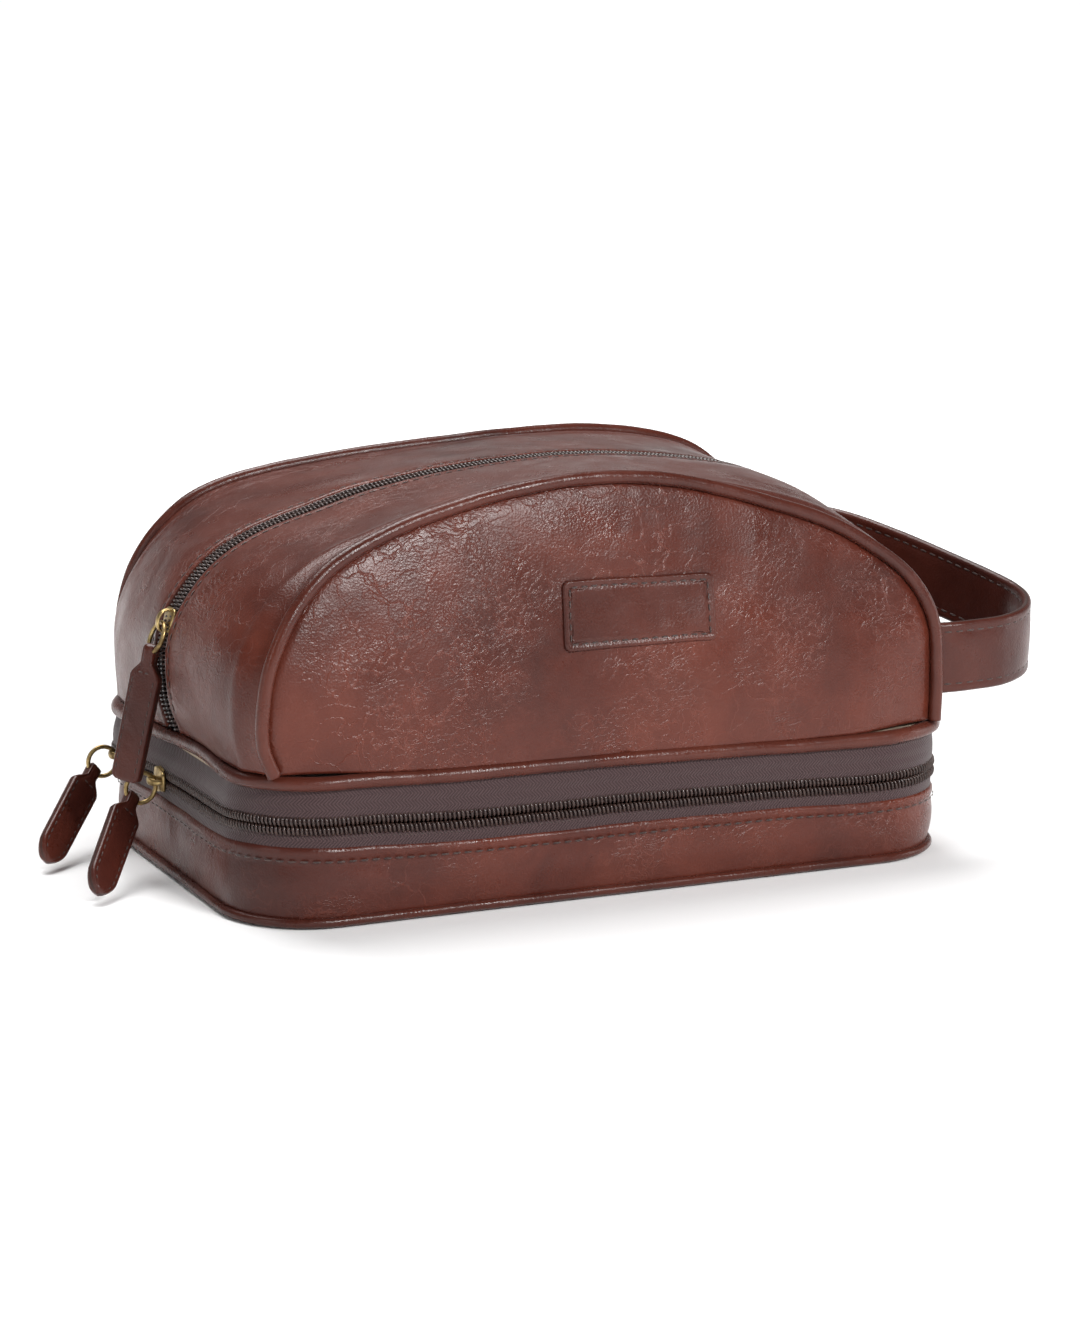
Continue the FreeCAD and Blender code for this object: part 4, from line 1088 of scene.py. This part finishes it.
def slider(name, matrix, body, nodes):
    """A coil zip slider: rounded cap plate, side flanges, underside plate, neck and an oval bail."""
    half_gap = 1.6 * MM
    top = half_gap + 1.2 * MM
    shape = [(2.6, -4.6), (3.9, -3.9), (4.3, -2.4), (4.1, -0.4), (3.5, 1.6), (3.3, 3.4), (2.6, 4.5),
             (0, 4.75), (-2.6, 4.5), (-3.3, 3.4), (-3.5, 1.6), (-4.1, -0.4), (-4.3, -2.4), (-3.9, -3.9),
             (-2.6, -4.6), (0, -4.75)]
    outline = resample(np.array(shape) * MM * np.array([1, -1]), 48, closed=True)
    verts, faces = [], []

    def add(grid):
        base = len(verts)
        rows, columns = grid.shape[:2]
        verts.extend(grid.reshape(-1, 3))
        faces.extend(quads(rows, columns, False, True, offset=base))
        faces.append(tuple(base + k for k in range(columns))[::-1])
        faces.append(tuple(base + (rows - 1) * columns + k for k in range(columns)))

    add(slider_plate(outline, half_gap, top, 0.4 * MM))
    add(slider_plate(outline * 0.97, -top + 0.2 * MM, -half_gap, 0.3 * MM))
    for side in (-1, 1):
        flange = np.array([(side * 4.1, -2.2, 0.9), (side * 3.85, 0.2, 0.9), (side * 3.5, 2.0, 0.9)]) * MM
        line = np.column_stack([np.full(3, half_gap - 0.2 * MM), flange[:, 0] * 0.96, -flange[:, 1]])
        add(tube(resample(line, 12), 0.5 * MM, 8, up=(1, 0, 0)))
    neck = np.array([(-half_gap, 0, 3.4 * MM), (half_gap, 0, 3.4 * MM)])
    add(tube(resample(neck, 4), 0.55 * MM, 10, up=(0, 1, 0)))
    angle = np.linspace(-0.5 * math.pi, 0.5 * math.pi, 40)
    arch = np.column_stack([top - 0.3 * MM + np.cos(angle) ** 0.75 * 3.6 * MM, np.zeros(40),
                            np.sin(angle) * 3.75 * MM])
    width = 1.35 * MM * (1 - 0.35 * np.abs(np.sin(angle)) ** 3)
    side, over = frames_along(arch, (0, 1, 0))
    ring = np.linspace(0, 2 * math.pi, 12, endpoint=False)
    loops = (arch[:, None] + side[:, None] * (np.cos(ring) * 0.55 * MM)[None, :, None]
             + over[:, None] * np.sin(ring)[None, :, None] * width[:, None, None])
    add(loops)
    obj = place_mesh(make(name, np.array(verts), faces), matrix)
    dress(obj, BRASS, "brass")
    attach(obj, body)
    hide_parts(*nodes)
    return obj


def pull(name, matrix, body, node, square):
    """A folded leather pull: narrow loop round the ring, wide sewn body, rounded end."""
    top = 2.4
    foot = top - 47.0
    rows = []
    heights = np.concatenate([top - 2.2 * (1 - np.cos(np.linspace(0, math.pi / 2, 8))),
                              np.linspace(0, foot, 70)[1:]])
    end = 3.2 if square else 8.5
    for z in heights:
        s = top - z
        if s < 6.2:
            half = 2.3
        elif s < 11.5:
            t = (s - 6.2) / 5.3
            half = 2.3 + (6.0 - 2.3) * (t * t * (3 - 2 * t)) ** 0.8
        else:
            half = 6.0 - 0.35 * (s - 11.5) / 35.5
        left = z - foot
        if left < end:
            k = (1 - left / end)
            half = half * (1 - 0.999 * k ** (3.2 if square else 2.0)) ** (0.5 if square else 0.62)
        thick = 2.2
        if s < 2.2:
            thick = max(0.15, math.sqrt(max(0, 2.2 ** 2 - (2.2 - s) ** 2)))
            half = 2.3 * (0.82 + 0.18 * min(1, s / 1.2))
        elif s < 9:
            thick = 2.2 - 0.35 * smoothstep(3, 9, s)
        else:
            thick = 1.85
        if left < 1.2:
            thick *= max(0.25, math.sqrt(max(0.0, 1 - (1 - left / 1.2) ** 2)))
        rows.append((z, max(half, 0.25), float(thick)))
    section = [(0.0, 1.0), (0.35, 1.02), (0.6, 0.97), (0.72, 0.84), (0.8, 0.93), (0.9, 0.9), (0.97, 0.66),
               (1.0, 0.22), (0.965, 0.0)]
    ring = [(0.0, 1.0)] + section[1:] + [(a, -b) for a, b in section[-2::-1]] \
        + [(-a, -b) for a, b in section[1:]] + [(-a, b) for a, b in section[-2:0:-1]]
    ring = np.array(ring)
    grid = np.empty((len(rows), len(ring), 3))
    for i, (z, half, thick) in enumerate(rows):
        y = ring[:, 0] * half
        x = ring[:, 1] * thick
        grid[i] = np.column_stack([x, y, np.full(len(ring), z)])
    grid = grid * MM
    obj = loft(name, grid, closed_ring=True, caps=True)
    parts = np.zeros(len(obj.data.polygons), np.int32)
    columns = len(ring)
    for k in range((len(rows) - 1) * columns):
        if abs(ring[k % columns][1]) < 0.3 and abs(ring[(k + 1) % columns][1]) < 0.3:
            parts[k] = 1
    place_mesh(obj, matrix)
    dress(obj, STRAP_LEATHER, "leather_brown", CUT_EDGE)
    obj.data.polygons.foreach_set("material_index", parts)
    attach(obj, body)
    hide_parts(node)

    outline = []
    for z, half, _ in rows:
        if top - z > 11.0 and half > 2.2 and z > foot + 2.6:
            outline.append((half - 1.65, z))
    if square:
        outline += [(3.4, foot + 2.0), (1.5, foot + 1.75)]
    seam = [(-y, z) for y, z in outline[::-1]]
    seam = np.array(outline + seam)
    stitched = []
    for face in (-1, 1):
        line = np.column_stack([np.full(len(seam), face * 1.62), seam]) * MM
        normal = np.broadcast_to([face * 1.0, 0, 0], line.shape)
        stitched.append(stitch_row(line, normal, 2.2 * MM, 1.0 * MM, 0.27 * MM))
        cross = np.array([(face * 1.9, -2.6, top - 9.8), (face * 1.9, 2.6, top - 9.8)]) * MM
        normal = np.broadcast_to([face * 1.0, 0, 0], (8, 3))
        stitched.append(stitch_row(resample(cross, 8), normal, 1.8 * MM, 0.6 * MM, 0.27 * MM))
    thread = dress(place_mesh(stitches(name + "Stitches", stitched), matrix), THREAD, "leather_brown")
    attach(thread, body)


def hung(joint, down, across):
    """The matrix of a pull that hangs from its joint's point."""
    found = [j for j in frame["joints"] if j["name"] == joint][0]
    upward = -Vector(down).normalized()
    return matrix_of(Vector(found["pos_m"]), Vector(across).cross(upward), Vector(across), upward)


def centre_of(node):
    low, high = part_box(node)
    return (low + high) / 2


MAIN_PULL_TURN = math.radians(-34)


def pulls():
    """The three sliders with their bails, and the leather pulls that hang from their rings."""
    out = slanted(107, 0)
    along = Vector((out.z, 0, -out.x))
    across = along.cross(out)
    slider("MainSlider", matrix_of(centre_of("main_slider"), out, across, along), "main_slider",
           ("main_slider", "main_bail"))
    down = slanted(12, 0)
    facing = Matrix.Rotation(MAIN_PULL_TURN, 3, down) @ across
    pull("MainPull", hung("main_tab_swing", down, facing), "main_tab", "main_tab", True)
    for label, angle, swing in (("front", 46, 45), ("back", 50, 40)):
        out = Vector((-1, 0, 0))
        along = Vector((0, 1, 0))
        node = "tray_" + label + "_slider"
        matrix = matrix_of(centre_of(node), out, along.cross(out), along)
        slider("TraySlider_" + label, matrix, label + "_slider", (node, "tray_" + label + "_bail"))
        radial = slanted(angle, 0)
        across = Vector((radial.z, 0, -radial.x))
        matrix = hung(label + "_tab_swing", slanted(angle, swing), across)
        pull("TrayPull_" + label, matrix, label + "_tab", "tray_" + label + "_tab", False)


# ---- CAD nodes that stay -------------------------------------------------------------------

def keep_nodes():
    for node, material in (("main_ring", BRASS), ("tray_front_ring", BRASS), ("tray_back_ring", BRASS),
                           ("tray_bottom_board", BOARD), ("divider_board", BOARD)):
        obj = frame["nodes"][node]
        for place in obj.material_slots:
            place.material = material
        obj.data.polygons.foreach_set("use_smooth", [True] * len(obj.data.polygons))


# ---- studio --------------------------------------------------------------------------------

FLOOR_REACH = 40.0


def paper_floor():
    """A white sheet that glows softly away from the bag, a little less in front of it."""
    n = Nodes("Paper")
    n.set(Base_Color=(0.93, 0.93, 0.93, 1), Roughness=0.9, Specular_IOR_Level=0.1, Emission_Color=(1, 1, 1, 1))
    place = n.place.outputs["Object"]
    far = n.add("ShaderNodeVectorMath", operation="LENGTH")
    n.link(place, far.inputs[0])
    axes = n.add("ShaderNodeSeparateXYZ")
    n.link(place, axes.inputs[0])
    glow = n.level(far.outputs["Value"], 0.35, 1.3, 0.0, 0.9)
    behind = n.level(axes.outputs["Y"], -0.95, -0.5, 0.65, 1.0)
    n.link(n.math("MULTIPLY", glow, behind), n.shader.inputs["Emission Strength"])

    mesh = bpy.data.meshes.new("Floor")
    far_side = FLOOR_REACH
    corners = [(-far_side, -far_side, 0), (far_side, -far_side, 0), (far_side, far_side, 0),
               (-far_side, far_side, 0)]
    mesh.from_pydata(corners, [], [(0, 1, 2, 3)])
    mesh.materials.append(n.material)
    floor = bpy.data.objects.new("Floor", mesh)
    bpy.context.scene.collection.objects.link(floor)


def sky():
    """Dim white all round, bright in a low band at the horizon."""
    world = bpy.data.worlds.new("Studio")
    world.use_nodes = True
    tree = world.node_tree
    background = tree.nodes["Background"]
    background.inputs["Color"].default_value = (1.0, 1.0, 1.0, 1)
    look = tree.nodes.new("ShaderNodeTexCoord")
    axes = tree.nodes.new("ShaderNodeSeparateXYZ")
    tree.links.new(look.outputs["Generated"], axes.inputs[0])
    fade = tree.nodes.new("ShaderNodeMapRange")
    for key, value in (("From Min", 0.10), ("From Max", 0.22), ("To Min", 0.9), ("To Max", 0.12)):
        fade.inputs[key].default_value = value
    tree.links.new(axes.outputs["Z"], fade.inputs["Value"])
    tree.links.new(fade.outputs["Result"], background.inputs["Strength"])
    bpy.context.scene.world = world


# Name, place, target, width, height, watts.
LIGHTS = [("Top", (-0.1, 0.55, 1.35), (0, 0, 0.05), 1.0, 0.8, 24),
          ("Softbox", (0.3, -1.25, 0.86), (0, 0, 0.07), 0.42, 0.26, 20),
          ("Left", (-1.4, -0.5, 0.7), (0, 0, 0.07), 0.3, 0.8, 3),
          ("Right", (1.3, -0.45, 0.35), (0.1, 0, 0.06), 0.2, 0.6, 2.5),
          ("Front", (-0.3, -1.8, 0.5), (0, 0, 0.06), 1.4, 0.5, 1.5)]


def lights():
    for name, at, target, width, height, power in LIGHTS:
        light = bpy.data.lights.new(name, "AREA")
        light.shape = "RECTANGLE"
        light.size = width
        light.size_y = height
        light.energy = power
        obj = bpy.data.objects.new(name, light)
        bpy.context.scene.collection.objects.link(obj)
        obj.location = at
        obj.rotation_mode = "QUATERNION"
        obj.rotation_quaternion = (Vector(target) - Vector(at)).to_track_quat("-Z", "Y")


CAMERA_AZIMUTH = math.radians(-26)
CAMERA_ELEVATION = math.radians(12)
CAMERA_ROLL = math.radians(1.0)
CAMERA_DISTANCE = 1.150
CAMERA_TARGET = (0.006, 0, 0.064)


def camera_view():
    """A long lens that looks at the front and the pulls' end from a little above."""
    lens = bpy.data.cameras.new("Camera")
    camera = bpy.data.objects.new("Camera", lens)
    bpy.context.scene.collection.objects.link(camera)
    back = Vector((math.sin(CAMERA_AZIMUTH) * math.cos(CAMERA_ELEVATION),
                   -math.cos(CAMERA_AZIMUTH) * math.cos(CAMERA_ELEVATION), math.sin(CAMERA_ELEVATION)))
    camera.location = Vector(CAMERA_TARGET) + back * CAMERA_DISTANCE
    camera.rotation_mode = "QUATERNION"
    turn = (-back).to_track_quat("-Z", "Y")
    camera.rotation_quaternion = turn @ Matrix.Rotation(CAMERA_ROLL, 3, "Z").to_quaternion()
    lens.sensor_width = 36
    lens.lens = 89.9
    lens.clip_start = 0.05
    lens.clip_end = 50
    bpy.context.scene.camera = camera


def studio():
    paper_floor()
    sky()
    lights()
    bpy.context.scene.view_settings.view_transform = "Standard"
    bpy.context.scene.view_settings.look = "None"
    camera_view()


tray()
low_zip()
base_piping()
divider()
hinge_strip()
for side in (FRONT, BACK):
    gusset(side)
    top_zip(side)
    edge_piping(side)
    panel(side)
    dome_lining(side)
patch()
strap()
pulls()
keep_nodes()
studio()
